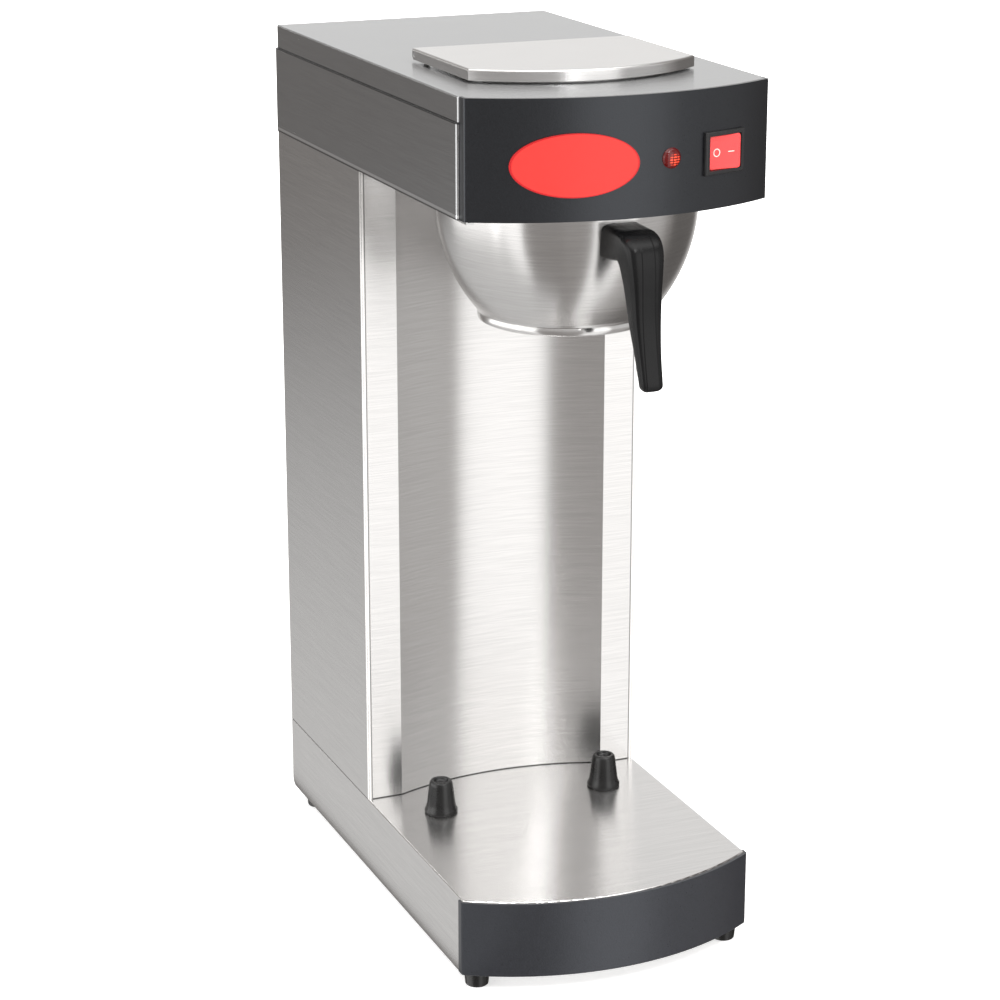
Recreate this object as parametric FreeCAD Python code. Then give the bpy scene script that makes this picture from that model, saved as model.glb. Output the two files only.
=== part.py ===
import FreeCAD
import Part
import math
import os

# Pour-over airpot coffee brewer, millimetres. +Z is up and the front faces -Y.
# While it is built, Y is counted from the front corner of the steel head; every
# piece is moved at the end so that the origin is the centre of the footprint.

# ---- driving dimensions ----
WIDTH = 200.0
DEPTH = 337.6
SHEET = 1.0
FOOT_HEIGHT = 10.0
BASE_HEIGHT = 51.5
COLUMN_HEIGHT = 436.5
HEAD_HEIGHT = 57.2
COVER_HEIGHT = 15.7
COLUMN_FRONT = 172.8
FUNNEL_Y = 69.4

# ---- levels ----
BASE_TOP = FOOT_HEIGHT + BASE_HEIGHT
HEAD_BOTTOM = BASE_TOP + COLUMN_HEIGHT
HEAD_SEAM = HEAD_BOTTOM + HEAD_HEIGHT
TOP = HEAD_SEAM + COVER_HEIGHT

# ---- plan of the casing ----
SIDE = WIDTH / 2 - 0.2
HEAD_SIDE = WIDTH / 2 + 0.8
HEAD_BOW = 195.0
HEAD_NOSE = -34.5
HEAD_BOW_Y = HEAD_NOSE + HEAD_BOW
HEAD_PANEL = 2.5
PANEL_SIDE = WIDTH / 2 - 1.0
PANEL_RETURN = 1.8
TONGUE_SIDE = PANEL_SIDE - PANEL_RETURN - 0.2
BASE_BOW = 190.0
BASE_NOSE = -32.5
BASE_BOW_Y = BASE_NOSE + BASE_BOW
BASE_PANEL = 2.0
BASE_HEEL = 6.0

# ---- column front ----
STRIP_EDGE = 75.0
HOLLOW = 15.2
HOLLOW_R = (STRIP_EDGE ** 2 + HOLLOW ** 2) / (2 * HOLLOW)
HOLLOW_Y = COLUMN_FRONT + HOLLOW - HOLLOW_R

# ---- lid and basin ----
LID_SIDE = 75.0
LID_CORNER_Y = 45.5
LID_NOSE = 17.0
LID_BACK = 139.4
LID_SHEET = 1.2
LID_TOP = TOP + 8.5
LID_HEM = TOP + 1.5
LID_HINGE_Y = 136.0
LID_HINGE_Z = TOP + 4.7
HINGE_PIN_R = 1.6
BASIN_INSET = 13.0
BASIN_BACK = 122.0
BASIN_FLOOR = HEAD_SEAM - 31.0
BASIN_LIP = 7.0

# ---- funnel ----
FUNNEL_BOTTOM = HEAD_BOTTOM - 82.4
FUNNEL_WALL = 1.0
BOWL_R = 82.5
BOWL_ARC = 109.2
BOWL_LEVEL = FUNNEL_BOTTOM + 78.1
STEP_TOP = FUNNEL_BOTTOM + 6.0
FUNNEL_FLOOR_R = 53.1
RIM_R = 87.2
RIM_Z = HEAD_BOTTOM - 4.7
RIM_THICK = 1.0
HANDLE_NOSE = -61.0
HANDLE_TIP_R = 4.1

# ---- running fits and clearances ----
PIN_CLEARANCE = 0.05
GAP = 0.4

# ---- water system ----
TANK_SIDE = 75.0
TANK_FRONT = 200.0
TANK_BACK = 300.0
TANK_BOTTOM = 185.0
TANK_TOP = 430.0
TANK_WALL = 1.2
HOSE_R = 5.0
HOSE_BORE = 3.2
LEAD_R = 1.3

# ---- cord entry at the back ----
GLAND_X = 60.0
GLAND_Z = 88.0
GLAND_BORE = 4.2
GLAND_REACH = 9.0
BACK_MOST = DEPTH + GLAND_REACH

CENTRE_Y = (HANDLE_NOSE + BACK_MOST) / 2
SIDES = (-1, 1)


def vec(x, y, z):
    return FreeCAD.Vector(x, y, z)


def export(name, shape):
    """Move a finished piece onto the origin and write it as its own file."""
    placed = shape.copy()
    placed.translate(vec(0, -CENTRE_Y, 0))
    assert placed.isValid() and placed.Volume > 0, name
    placed.exportStep("parts/" + name + ".step")
    print(name, len(placed.Solids), "solid(s)", round(placed.Volume / 1000, 2), "cm3")


def box(x0, x1, y0, y1, z0, z1):
    return Part.makeBox(x1 - x0, y1 - y0, z1 - z0, vec(x0, y0, z0))


def rod(start, end, radius):
    """A round bar from one point to another."""
    run = end - start
    return Part.makeCylinder(radius, run.Length, start, run)


def post(x, y, z0, z1, radius):
    return rod(vec(x, y, z0), vec(x, y, z1), radius)


def both_sides(shape):
    """The piece and its mirror image across the middle plane."""
    return shape, shape.mirror(vec(0, 0, 0), vec(1, 0, 0))


def arc_y(half_width, centre_y, radius):
    """Y of a bowed front at a distance from the middle."""
    return centre_y - math.sqrt(radius ** 2 - half_width ** 2)


def bowed_block(half_width, centre_y, radius, back_y, z0, z1):
    """A block whose front is an upright arc about a centre on the middle plane."""
    corner = arc_y(half_width, centre_y, radius)
    left = vec(-half_width, corner, z0)
    right = vec(half_width, corner, z0)
    back_left = vec(-half_width, back_y, z0)
    back_right = vec(half_width, back_y, z0)
    edges = [
        Part.Arc(left, vec(0, centre_y - radius, z0), right).toShape(),
        Part.makeLine(right, back_right),
        Part.makeLine(back_right, back_left),
        Part.makeLine(back_left, left),
    ]
    return Part.Face(Part.Wire(edges)).extrude(vec(0, 0, z1 - z0))


def prism(points, direction):
    """A flat outline of straight edges, pushed along a direction."""
    return Part.Face(Part.makePolygon(points + [points[0]])).extrude(direction)


def upright(edge):
    first, last = edge.Vertexes[0].Point, edge.Vertexes[-1].Point
    return abs(first.z - last.z) > 0.5 and (first - last).Length < abs(first.z - last.z) + 0.01


def rounded(shape, radius, wanted):
    """Round the edges that a test picks out."""
    return shape.makeFillet(radius, [edge for edge in shape.Edges if wanted(edge)])


def turned(points):
    """A solid of revolution about Z from an outline of (radius, height) points."""
    outline = Part.makePolygon([vec(r, 0, z) for r, z in points + [points[0]]])
    return Part.Face(outline).revolve(vec(0, 0, 0), vec(0, 0, 1), 360)


def pan_screw(place, direction, head_r, length):
    """A pan-head screw whose head sits on the surface at place, pointing inward."""
    head = Part.makeCylinder(head_r, head_r * 0.55, place, direction * -1)
    head = rounded(head, head_r * 0.35, lambda edge: (edge.CenterOfMass - place).Length > head_r * 0.3)
    shank = Part.makeCylinder(head_r * 0.5, length, place, direction)
    slot = Part.makeBox(head_r * 1.1, head_r * 0.24, head_r * 0.3)
    slot.translate(vec(-head_r * 0.55, -head_r * 0.12, 0))
    cross = slot.fuse(slot.rotated(vec(0, 0, 0), vec(0, 0, 1), 90))
    cross.Placement = FreeCAD.Placement(place - direction * (head_r * 0.56),
                                        FreeCAD.Rotation(vec(0, 0, 1), direction))
    return head.fuse(shank).cut(cross)


def bent_path(points, tightest):
    """Straight runs joined by tangent arcs as large as their runs allow."""
    edges = []
    start = points[0]
    for before, corner, after in zip(points, points[1:], points[2:]):
        inward = (before - corner).normalize()
        outward = (after - corner).normalize()
        half_turn = (math.pi - inward.getAngle(outward)) / 2
        shorter = min((before - corner).Length, (after - corner).Length)
        radius = max(tightest, 0.45 * shorter / math.tan(half_turn))
        setback = radius * math.tan(half_turn)
        enter = corner + inward * setback
        leave = corner + outward * setback
        middle = (inward + outward).normalize()
        mid = corner + middle * (radius / math.cos(half_turn) - radius)
        edges.append(Part.LineSegment(start, enter).toShape())
        edges.append(Part.Arc(enter, mid, leave).toShape())
        start = leave
    edges.append(Part.LineSegment(start, points[-1]).toShape())
    return Part.Wire(edges)


def tube(points, radius, tightest, bore=0.0):
    """A hose or lead along a bent path."""
    path = bent_path(points, tightest)
    heading = points[1] - points[0]
    ring = Part.Wire(Part.makeCircle(radius, points[0], heading))
    solid = path.makePipeShell([ring], True, False)
    section = math.pi * radius ** 2
    assert abs(solid.Volume / (section * path.Length) - 1) < 0.02
    if bore:
        inner = Part.Wire(Part.makeCircle(bore, points[0], heading))
        solid = solid.cut(path.makePipeShell([inner], True, False))
    return solid


# ---- base ----

def base_tray():
    """Folded steel pan, open below: top, two sides, back and bowed front."""
    outer = bowed_block(SIDE, BASE_BOW_Y, BASE_BOW - BASE_PANEL, DEPTH, FOOT_HEIGHT, BASE_TOP)
    outer = rounded(outer, 1.2, lambda edge: edge.CenterOfMass.z > BASE_TOP - 0.01)
    outer = rounded(outer, BASE_HEEL, lambda edge: edge.CenterOfMass.z < FOOT_HEIGHT + 0.01
                    and edge.CenterOfMass.y > DEPTH - 0.01)
    inner = bowed_block(SIDE - SHEET, BASE_BOW_Y, BASE_BOW - BASE_PANEL - SHEET, DEPTH - SHEET,
                        FOOT_HEIGHT - 1, BASE_TOP - SHEET)
    tray = outer.cut(inner)
    for side in SIDES:
        tray = tray.cut(post(side * PEG_X, PEG_Y, BASE_TOP - 5, BASE_TOP + 5, PEG_SCREW_R))
    return tray


def base_plate():
    """Closing plate inside the pan's lower edge, with a hole for each foot."""
    plate = bowed_block(SIDE - SHEET - 0.2, BASE_BOW_Y, BASE_BOW - BASE_PANEL - SHEET - 0.2,
                        DEPTH - BASE_HEEL, FOOT_HEIGHT, FOOT_HEIGHT + 1.2)
    for x, y in foot_places():
        plate = plate.cut(post(x, y, 0, BASE_TOP, FOOT_SCREW_R))
    return plate


def base_front_panel():
    """Dark bowed apron over the front of the pan, with short returns round its corners."""
    outer = bowed_block(WIDTH / 2 + 1, BASE_BOW_Y, BASE_BOW, 2.0, FOOT_HEIGHT + 0.5, BASE_TOP - 0.6)
    outer = rounded(outer, 2.5, lambda edge: upright(edge) and edge.CenterOfMass.y < 0)
    outer = rounded(outer, 0.8, lambda edge: edge.CenterOfMass.z < FOOT_HEIGHT + 1)
    inner = bowed_block(SIDE, BASE_BOW_Y, BASE_BOW - BASE_PANEL, 10.0, 0, TOP)
    return outer.cut(inner)


FOOT_X = 88.0
FOOT_FRONT_Y = 3.0
FOOT_BACK_Y = DEPTH - 22.0
FOOT_R = 8.5
FOOT_SCREW_R = 2.0
PEG_X = 60.5
PEG_Y = 135.5
PEG_HEIGHT = 23.0
PEG_SCREW_R = 2.0


def foot_places():
    return [(side * FOOT_X, y) for y in (FOOT_FRONT_Y, FOOT_BACK_Y) for side in SIDES]


def feet():
    """Four tapered rubber feet, each hollowed below for the head of its screw."""
    foot = turned([(FOOT_SCREW_R, 4.0), (4.6, 4.0), (4.6, 0.0), (6.9, 0.0), (7.5, 0.6),
                   (FOOT_R, FOOT_HEIGHT), (FOOT_SCREW_R, FOOT_HEIGHT)])
    return [foot.translated(vec(x, y, 0)) for x, y in foot_places()]


def foot_screws():
    return [pan_screw(vec(x, y, 4.0), vec(0, 0, 1), 4.0, 10.0) for x, y in foot_places()]


def airpot_peg(side):
    """Rubber locating peg: flared foot, tapered body, round shoulder and dimpled top."""
    outline = [(PEG_SCREW_R, 0.0), (11.2, 0.0), (11.2, 1.4), (10.2, 2.6), (8.2, PEG_HEIGHT - 3.4),
               (7.4, PEG_HEIGHT - 1.2), (5.8, PEG_HEIGHT), (4.2, PEG_HEIGHT), (4.2, PEG_HEIGHT - 2.0),
               (0.0, PEG_HEIGHT - 2.0), (0.0, 12.0), (PEG_SCREW_R, 12.0)]
    return turned(outline).translated(vec(side * PEG_X, PEG_Y, BASE_TOP))


def peg_screws():
    under = BASE_TOP - SHEET
    return [pan_screw(vec(side * PEG_X, PEG_Y, under), vec(0, 0, 1), 4.0, 12.0) for side in SIDES]


# ---- column ----

BACK_OPENING = 76.0
BACK_LOW = 122.0
BACK_HIGH = 470.0
BACK_LAP = 12.0


def column_side(side):
    """One flat side of the column, standing on the base and reaching up to the head."""
    near, far = sorted((side * SIDE, side * (SIDE - SHEET)))
    return box(near, far, COLUMN_FRONT, DEPTH, BASE_TOP, HEAD_BOTTOM)


def column_back():
    """Back of the column between its sides, with the service opening and the hole for the cord gland."""
    half = SIDE - SHEET
    back = box(-half, half, DEPTH - SHEET, DEPTH, BASE_TOP, HEAD_BOTTOM)
    opening = box(-BACK_OPENING, BACK_OPENING, DEPTH - 5, DEPTH + 5, BACK_LOW, BACK_HIGH)
    entry = rod(vec(GLAND_X, DEPTH - 5, GLAND_Z), vec(GLAND_X, DEPTH + 5, GLAND_Z), GLAND_NECK_R)
    return back.cut(rounded(opening, 6.0, lambda edge: abs(edge.CenterOfMass.y - DEPTH) < 1)).cut(entry)


def hollow_face(shift):
    """Front outline of the column: flat strip, hollow arc, flat strip, set back by shift."""
    radius = HOLLOW_R + shift
    level = COLUMN_FRONT + shift
    edge = math.sqrt(radius ** 2 - (level - HOLLOW_Y) ** 2)
    side = SIDE - SHEET - 0.2 - (shift and SHEET)
    points = [vec(-side, level, BASE_TOP), vec(-edge, level, BASE_TOP),
              vec(0, HOLLOW_Y + radius, BASE_TOP), vec(edge, level, BASE_TOP), vec(side, level, BASE_TOP)]
    return points


def column_front_panel():
    """Front sheet of the column: two flat strips with a hollow between them and a flange each side."""
    front = hollow_face(0)
    back = hollow_face(SHEET)
    flange_y = COLUMN_FRONT + 12.0
    edges = [
        Part.makeLine(front[0], front[1]),
        Part.Arc(front[1], front[2], front[3]).toShape(),
        Part.makeLine(front[3], front[4]),
        Part.makeLine(front[4], vec(front[4].x, flange_y, BASE_TOP)),
        Part.makeLine(vec(front[4].x, flange_y, BASE_TOP), vec(back[4].x, flange_y, BASE_TOP)),
        Part.makeLine(vec(back[4].x, flange_y, BASE_TOP), back[4]),
        Part.makeLine(back[4], back[3]),
        Part.Arc(back[3], back[2], back[1]).toShape(),
        Part.makeLine(back[1], back[0]),
        Part.makeLine(back[0], vec(back[0].x, flange_y, BASE_TOP)),
        Part.makeLine(vec(back[0].x, flange_y, BASE_TOP), vec(front[0].x, flange_y, BASE_TOP)),
        Part.makeLine(vec(front[0].x, flange_y, BASE_TOP), front[0]),
    ]
    return Part.Face(Part.Wire(edges)).extrude(vec(0, 0, COLUMN_HEIGHT))


def rear_panel():
    """Service panel screwed over the opening in the back, with two banks of vent slots."""
    half = BACK_OPENING + BACK_LAP
    panel = box(-half, half, DEPTH, DEPTH + SHEET, BACK_LOW - BACK_LAP, BACK_HIGH + BACK_LAP)
    for bank in (BACK_LOW + 20.0, BACK_HIGH - 75.0):
        for row in range(6):
            for side in SIDES:
                low = bank + row * 10.0
                panel = panel.cut(box(side * 35 - 24, side * 35 + 24, DEPTH - 1, DEPTH + 3, low, low + 3.2))
    return panel


def rear_panel_screws():
    inward = vec(0, -1, 0)
    reach = BACK_OPENING + BACK_LAP / 2
    levels = (BACK_LOW - BACK_LAP / 2, (BACK_LOW + BACK_HIGH) / 2, BACK_HIGH + BACK_LAP / 2)
    places = [vec(side * reach, DEPTH + SHEET, z) for z in levels for side in SIDES]
    return [pan_screw(place, inward, 3.4, 6.0) for place in places]


# ---- cord entry ----

GLAND_NECK_R = 7.6
GLAND_FLANGE_R = 11.0


def cord_gland():
    """Plastic cord gland: flange and domed cap outside, threaded neck inside."""
    outline = [(GLAND_BORE, -14.0), (GLAND_NECK_R, -14.0), (GLAND_NECK_R, 0.0), (GLAND_FLANGE_R, 0.0),
               (GLAND_FLANGE_R, 3.0), (9.4, 3.6), (8.6, 7.4), (7.0, GLAND_REACH), (GLAND_BORE, GLAND_REACH)]
    gland = turned(outline)
    gland.rotate(vec(0, 0, 0), vec(1, 0, 0), -90)
    gland.translate(vec(GLAND_X, DEPTH, GLAND_Z))
    return gland


def hexagon(across, thickness, bore):
    """A hexagonal nut standing on the ground plane at the origin."""
    corner = across / math.sqrt(3)
    points = [vec(corner * math.cos(math.radians(60 * k)), corner * math.sin(math.radians(60 * k)), 0)
              for k in range(6)]
    return prism(points, vec(0, 0, thickness)).cut(post(0, 0, -1, thickness + 1, bore))


def gland_nut():
    nut = hexagon(19.0, 5.0, GLAND_NECK_R)
    nut.rotate(vec(0, 0, 0), vec(1, 0, 0), 90)
    nut.translate(vec(GLAND_X, DEPTH - SHEET, GLAND_Z))
    return nut


# ---- head ----

COLUMN_WELL = 82.0
COVER_LAP = 10.0


def head_tongue(inset, z0, z1):
    """The part of the head's plan that reaches forward behind the control panel."""
    return bowed_block(TONGUE_SIDE - inset, HEAD_BOW_Y, HEAD_BOW - HEAD_PANEL - 0.1 - inset, 4.0, z0, z1)


def head_body():
    """Steel box of the head: floor, sides and back, open above and in front."""
    walls = box(-HEAD_SIDE, HEAD_SIDE, 0, DEPTH, HEAD_BOTTOM, HEAD_SEAM)
    walls = rounded(walls, 1.6, upright)
    walls = walls.cut(box(-SIDE, SIDE, SHEET, DEPTH - SHEET, HEAD_BOTTOM - 1, HEAD_SEAM + 1))
    walls = walls.cut(box(-SIDE + 9, SIDE - 9, -5, SHEET + 1, HEAD_BOTTOM - 1, HEAD_SEAM + 1))
    walls = walls.cut(box(-SIDE, SIDE, -5, SHEET + 1, HEAD_SEAM - COVER_LAP - 0.3, HEAD_SEAM + 1))
    floor = box(-SIDE, SIDE, SHEET, DEPTH - SHEET, HEAD_BOTTOM, HEAD_BOTTOM + SHEET)
    floor = floor.fuse(head_tongue(0, HEAD_BOTTOM, HEAD_BOTTOM + SHEET))
    floor = floor.cut(box(-COLUMN_WELL, COLUMN_WELL, COLUMN_FRONT + 20, DEPTH - 14, 0, TOP))
    floor = floor.cut(post(0, FUNNEL_Y, 0, TOP, SPRAY_NECK_R))
    return walls.fuse(floor).removeSplitter()


def head_front_panel():
    """Dark bowed control panel with side returns, a window for the switch and a hole for the lamp."""
    outer = bowed_block(PANEL_SIDE, HEAD_BOW_Y, HEAD_BOW, -0.1, HEAD_BOTTOM, TOP)
    outer = rounded(outer, 1.6, lambda edge: upright(edge) and edge.CenterOfMass.y < -1)
    inner = bowed_block(PANEL_SIDE - PANEL_RETURN, HEAD_BOW_Y, HEAD_BOW - HEAD_PANEL, 10.0, 0, 2 * TOP)
    panel = outer.cut(inner)
    panel = panel.cut(on_panel(SWITCH_ARC, SWITCH_Z, switch_block(SWITCH_FRAME_X, SWITCH_FRAME_Z, -0.7, 5)))
    panel = panel.cut(on_panel(SWITCH_ARC, SWITCH_Z, switch_block(SWITCH_CASE_X, SWITCH_CASE_Z, -9, 5)))
    return panel.cut(on_panel(LAMP_ARC, LAMP_Z, rod(vec(0, 8, 0), vec(0, -8, 0), LAMP_STEM_R)))


def top_cover():
    """Pan-shaped lid of the head, let into the head's walls, with the opening for the basin."""
    low, half, back = HEAD_SEAM - COVER_LAP, SIDE - 0.1, DEPTH - SHEET - 0.1
    outer = box(-half, half, 0, back, low, TOP)
    outer = rounded(outer, 1.5, upright).fuse(head_tongue(0, low, TOP)).removeSplitter()
    outer = rounded(outer, 1.0, lambda edge: edge.CenterOfMass.z > TOP - 0.01 and edge.CenterOfMass.y > 1)
    inner = box(-half + SHEET, half - SHEET, SHEET, back - SHEET, low - 1, TOP - SHEET)
    inner = inner.fuse(head_tongue(SHEET, low - 1, TOP - SHEET))
    opening = lid_outline(BASIN_INSET, BASIN_BACK, TOP - 5, TOP + 5)
    return outer.cut(inner).cut(rounded(opening, 6.0, upright))


def cover_screws():
    """Screws through the head's back into the cover's skirt."""
    return [pan_screw(vec(x, DEPTH, HEAD_SEAM - 5), vec(0, -1, 0), 2.6, 6.0) for x in (-70.0, 0.0, 70.0)]


def pour_basin():
    """Drawn steel basin under the lid, with a flange on the cover and an outlet in its back."""
    flange = lid_outline(BASIN_INSET - BASIN_LIP, BASIN_BACK + BASIN_LIP, TOP, TOP + SHEET)
    lip = rounded(flange, 12.0, upright)
    well = rounded(lid_outline(BASIN_INSET, BASIN_BACK, BASIN_FLOOR, TOP), 6.0, upright)
    hollow = lid_outline(BASIN_INSET + SHEET, BASIN_BACK - SHEET, BASIN_FLOOR + SHEET, TOP + 5)
    hollow = rounded(hollow, 5.0, upright)
    spout = rod(vec(FILL_X, BASIN_BACK - 0.5, FILL_Z), vec(FILL_X, BASIN_BACK + 14, FILL_Z), HOSE_BORE)
    bore = rod(vec(FILL_X, BASIN_BACK - 4, FILL_Z), vec(FILL_X, BASIN_BACK + 15, FILL_Z), HOSE_BORE - 0.8)
    return lip.fuse(well).cut(hollow).fuse(spout).cut(bore)


def basin_strainer():
    """Perforated plate lying in the bottom of the basin."""
    plate = lid_outline(BASIN_INSET + 5, BASIN_BACK - 5, BASIN_FLOOR + 8.4, BASIN_FLOOR + 9.4)
    plate = rounded(plate, 4.0, upright)
    for column in range(-5, 6):
        for row in range(5):
            plate = plate.cut(post(column * 9.5, BASIN_BACK - 14 - row * 11.0, 0, TOP, 2.0))
    legs = [post(x, y, BASIN_FLOOR + SHEET, BASIN_FLOOR + 8.6, 2.2) for x, y in
            ((-50, 72), (50, 72), (-50, 112), (45, 112))]
    return plate.fuse(legs)


# ---- lid ----

def lid_outline(inset, back, z0, z1):
    """Block on the lid's plan, drawn in by inset: straight back, square sides and a bowed front."""
    half = LID_SIDE - inset
    corner = LID_CORNER_Y + inset
    nose = LID_NOSE + inset
    left, right = vec(-half, corner, z0), vec(half, corner, z0)
    back_left, back_right = vec(-half, back, z0), vec(half, back, z0)
    edges = [Part.Arc(left, vec(0, nose, z0), right).toShape(), Part.makeLine(right, back_right),
             Part.makeLine(back_right, back_left), Part.makeLine(back_left, left)]
    return Part.Face(Part.Wire(edges)).extrude(vec(0, 0, z1 - z0))


def lid():
    """Sheet lid with a skirt on three sides; the skirt is cut back beside the hinge."""
    outer = lid_outline(0, LID_BACK, LID_HEM, LID_TOP)
    outer = rounded(outer, 1.6, lambda edge: edge.CenterOfMass.z > LID_TOP - 0.01
                    and edge.CenterOfMass.y < LID_BACK - 1)
    inner = lid_outline(LID_SHEET, LID_BACK, LID_HEM - 1, LID_TOP - LID_SHEET)
    inner = inner.fuse(box(-LID_SIDE + LID_SHEET, LID_SIDE - LID_SHEET, LID_BACK - 5, LID_BACK + 5,
                           LID_HEM - 1, LID_TOP - LID_SHEET))
    shape = outer.cut(inner)
    clip = [vec(-WIDTH, LID_HINGE_Y + 0.8, LID_HEM - 1), vec(-WIDTH, LID_BACK + 1, LID_HEM - 1),
            vec(-WIDTH, LID_BACK + 1, LID_HINGE_Z - 0.2)]
    shape = shape.cut(prism(clip, vec(2 * WIDTH, 0, 0)))
    hole = rod(vec(-WIDTH, LID_HINGE_Y, LID_HINGE_Z), vec(WIDTH, LID_HINGE_Y, LID_HINGE_Z),
               HINGE_PIN_R + PIN_CLEARANCE)
    return shape.cut(hole)


def hinge_bracket():
    """Small angle bracket on the cover with an ear for the hinge pin, right-hand side."""
    ear_in, ear_out = 66.0, 68.0
    pivot_in, pivot_out = vec(ear_in, LID_HINGE_Y, LID_HINGE_Z), vec(ear_out, LID_HINGE_Y, LID_HINGE_Z)
    ear = rod(pivot_in, pivot_out, 2.3)
    ear = ear.fuse(box(ear_in, ear_out, LID_HINGE_Y - 2.3, LID_HINGE_Y + 1.4, TOP, LID_HINGE_Z))
    foot = box(ear_in - 7, ear_out, LID_HINGE_Y - 2.3, LID_HINGE_Y + 0.6, TOP, TOP + 0.8)
    return ear.fuse(foot).cut(rod(pivot_in, pivot_out, HINGE_PIN_R))


def hinge_pin():
    """Short pin from the bracket's ear into the lid's skirt, right-hand side."""
    head = vec(64.6, LID_HINGE_Y, LID_HINGE_Z)
    return rod(head, vec(LID_SIDE - 0.2, LID_HINGE_Y, LID_HINGE_Z), HINGE_PIN_R)


def lid_bumpers():
    """Rubber buttons on the basin's flange that the closed lid rests on."""
    low = TOP + SHEET
    return [post(side * 25, LID_NOSE + 10.2, low, LID_TOP - LID_SHEET - 0.3, 2.4) for side in SIDES]


# ---- control panel fittings ----

BADGE_ARC = -38.4
BADGE_Z = TOP - 39.6
BADGE_HALF = 39.2
BADGE_RISE = 19.0
BADGE_THICK = 1.0
LAMP_ARC = 22.3
LAMP_Z = TOP - 38.8
LAMP_R = 6.2
LAMP_STEM_R = 4.6
SWITCH_ARC = 61.9
SWITCH_Z = TOP - 39.1
SWITCH_FRAME_X = 16.0
SWITCH_FRAME_Z = 13.1
SWITCH_FRAME_PROUD = 2.0
SWITCH_CASE_X = 14.4
SWITCH_CASE_Z = 11.1
SWITCH_CASE_DEPTH = 20.0
ROCKER_HALF = 12.3
ROCKER_RISE = 10.0
ROCKER_PIVOT = 2.5
ROCKER_TILT = 9.0


def on_panel(along, z, shape):
    """Place a piece made at the origin, facing -Y, at an arc length along the control panel."""
    turn = along / HEAD_BOW
    placed = shape.copy()
    placed.rotate(vec(0, 0, 0), vec(0, 0, 1), math.degrees(turn))
    placed.translate(vec(HEAD_BOW * math.sin(turn), HEAD_BOW_Y - HEAD_BOW * math.cos(turn), z))
    return placed


def switch_block(half_x, half_z, back, front):
    """A block centred on the panel's surface, from a depth behind it to a height in front."""
    return box(-half_x, half_x, -front, -back, -half_z, half_z)


def badge():
    """Plain domed oval plate that follows the curve of the panel."""
    sheet = post(0, HEAD_BOW_Y, HEAD_BOTTOM, TOP, HEAD_BOW + BADGE_THICK)
    sheet = sheet.cut(post(0, HEAD_BOW_Y, HEAD_BOTTOM, TOP, HEAD_BOW))
    oval = Part.Ellipse(vec(0, 0, 0), BADGE_HALF, BADGE_RISE).toShape()
    cutter = Part.Face(Part.Wire(oval)).extrude(vec(0, 0, 12))
    cutter.rotate(vec(0, 0, 0), vec(1, 0, 0), 90)
    cutter.translate(vec(0, 4, 0))
    return sheet.common(on_panel(BADGE_ARC, BADGE_Z, cutter))


def lamp_lens():
    """Domed lens of the pilot lamp with its stem through the panel."""
    dome = Part.makeSphere(9.0, vec(0, 6.3, 0)).common(rod(vec(0, -1, 0), vec(0, -8, 0), LAMP_R - 0.7))
    rim = rod(vec(0, 0, 0), vec(0, -1.2, 0), LAMP_R)
    stem = rod(vec(0, 0, 0), vec(0, 9, 0), LAMP_STEM_R)
    return on_panel(LAMP_ARC, LAMP_Z, rim.fuse([dome, stem]))


def lamp_clip():
    """Spring collar that holds the lamp behind the panel."""
    collar = rod(vec(0, 3.2, 0), vec(0, 5.2, 0), 7.4).cut(rod(vec(0, 0, 0), vec(0, 9, 0), LAMP_STEM_R))
    return on_panel(LAMP_ARC, LAMP_Z, collar)


def switch_body():
    """Frame and case of the rocker switch, hollow for the rocker, with its terminals behind."""
    frame = switch_block(SWITCH_FRAME_X, SWITCH_FRAME_Z, -0.7, SWITCH_FRAME_PROUD)
    frame = rounded(frame, 1.2, lambda edge: edge.CenterOfMass.y < -SWITCH_FRAME_PROUD + 0.01)
    case = switch_block(SWITCH_CASE_X - 0.2, SWITCH_CASE_Z - 0.2, -SWITCH_CASE_DEPTH, 0)
    hollow = switch_block(ROCKER_HALF + 0.8, ROCKER_RISE + GAP, -12, 5)
    holes = rod(vec(0, ROCKER_PIVOT, -SWITCH_CASE_Z + 0.4), vec(0, ROCKER_PIVOT, SWITCH_CASE_Z - 0.4),
                1.2 + PIN_CLEARANCE)
    body = frame.fuse(case).cut(hollow).cut(holes)
    for x in (-8.0, 0.0, 8.0):
        for z in (-5.0, 5.0):
            tab = box(x - 2.4, x + 2.4, SWITCH_CASE_DEPTH - 0.5, SWITCH_CASE_DEPTH + 8, z - 0.4, z + 0.4)
            body = body.fuse(tab)
    return on_panel(SWITCH_ARC, SWITCH_Z, body)


def switch_rocker():
    """Rocker button with two sloping faces and a pivot stub at each end, resting switched off."""
    outline = [vec(-ROCKER_HALF, -1.2, 0), vec(0, 0.4, 0), vec(ROCKER_HALF, -1.2, 0), vec(12.0, 4.0, 0),
               vec(4.0, 8.0, 0), vec(-4.0, 8.0, 0), vec(-12.0, 4.0, 0)]
    rocker = prism(outline, vec(0, 0, 2 * ROCKER_RISE)).translated(vec(0, 0, -ROCKER_RISE))
    rocker = rounded(rocker, 0.6, lambda edge: edge.CenterOfMass.y < 0.5 and abs(edge.CenterOfMass.x) > 1)
    stubs = rod(vec(0, ROCKER_PIVOT, -SWITCH_CASE_Z + 0.5), vec(0, ROCKER_PIVOT, SWITCH_CASE_Z - 0.5), 1.2)
    rocker = rocker.fuse(stubs)
    rocker.rotate(vec(0, ROCKER_PIVOT, 0), vec(0, 0, 1), -ROCKER_TILT)
    return on_panel(SWITCH_ARC, SWITCH_Z, rocker)


# ---- funnel and its rails ----

RAIL_WEB = RIM_R + 0.8
RAIL_FRONT = 14.0
RAIL_BACK = 156.0
SPRAY_R = 32.0
SPRAY_NECK_R = 6.0


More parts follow.
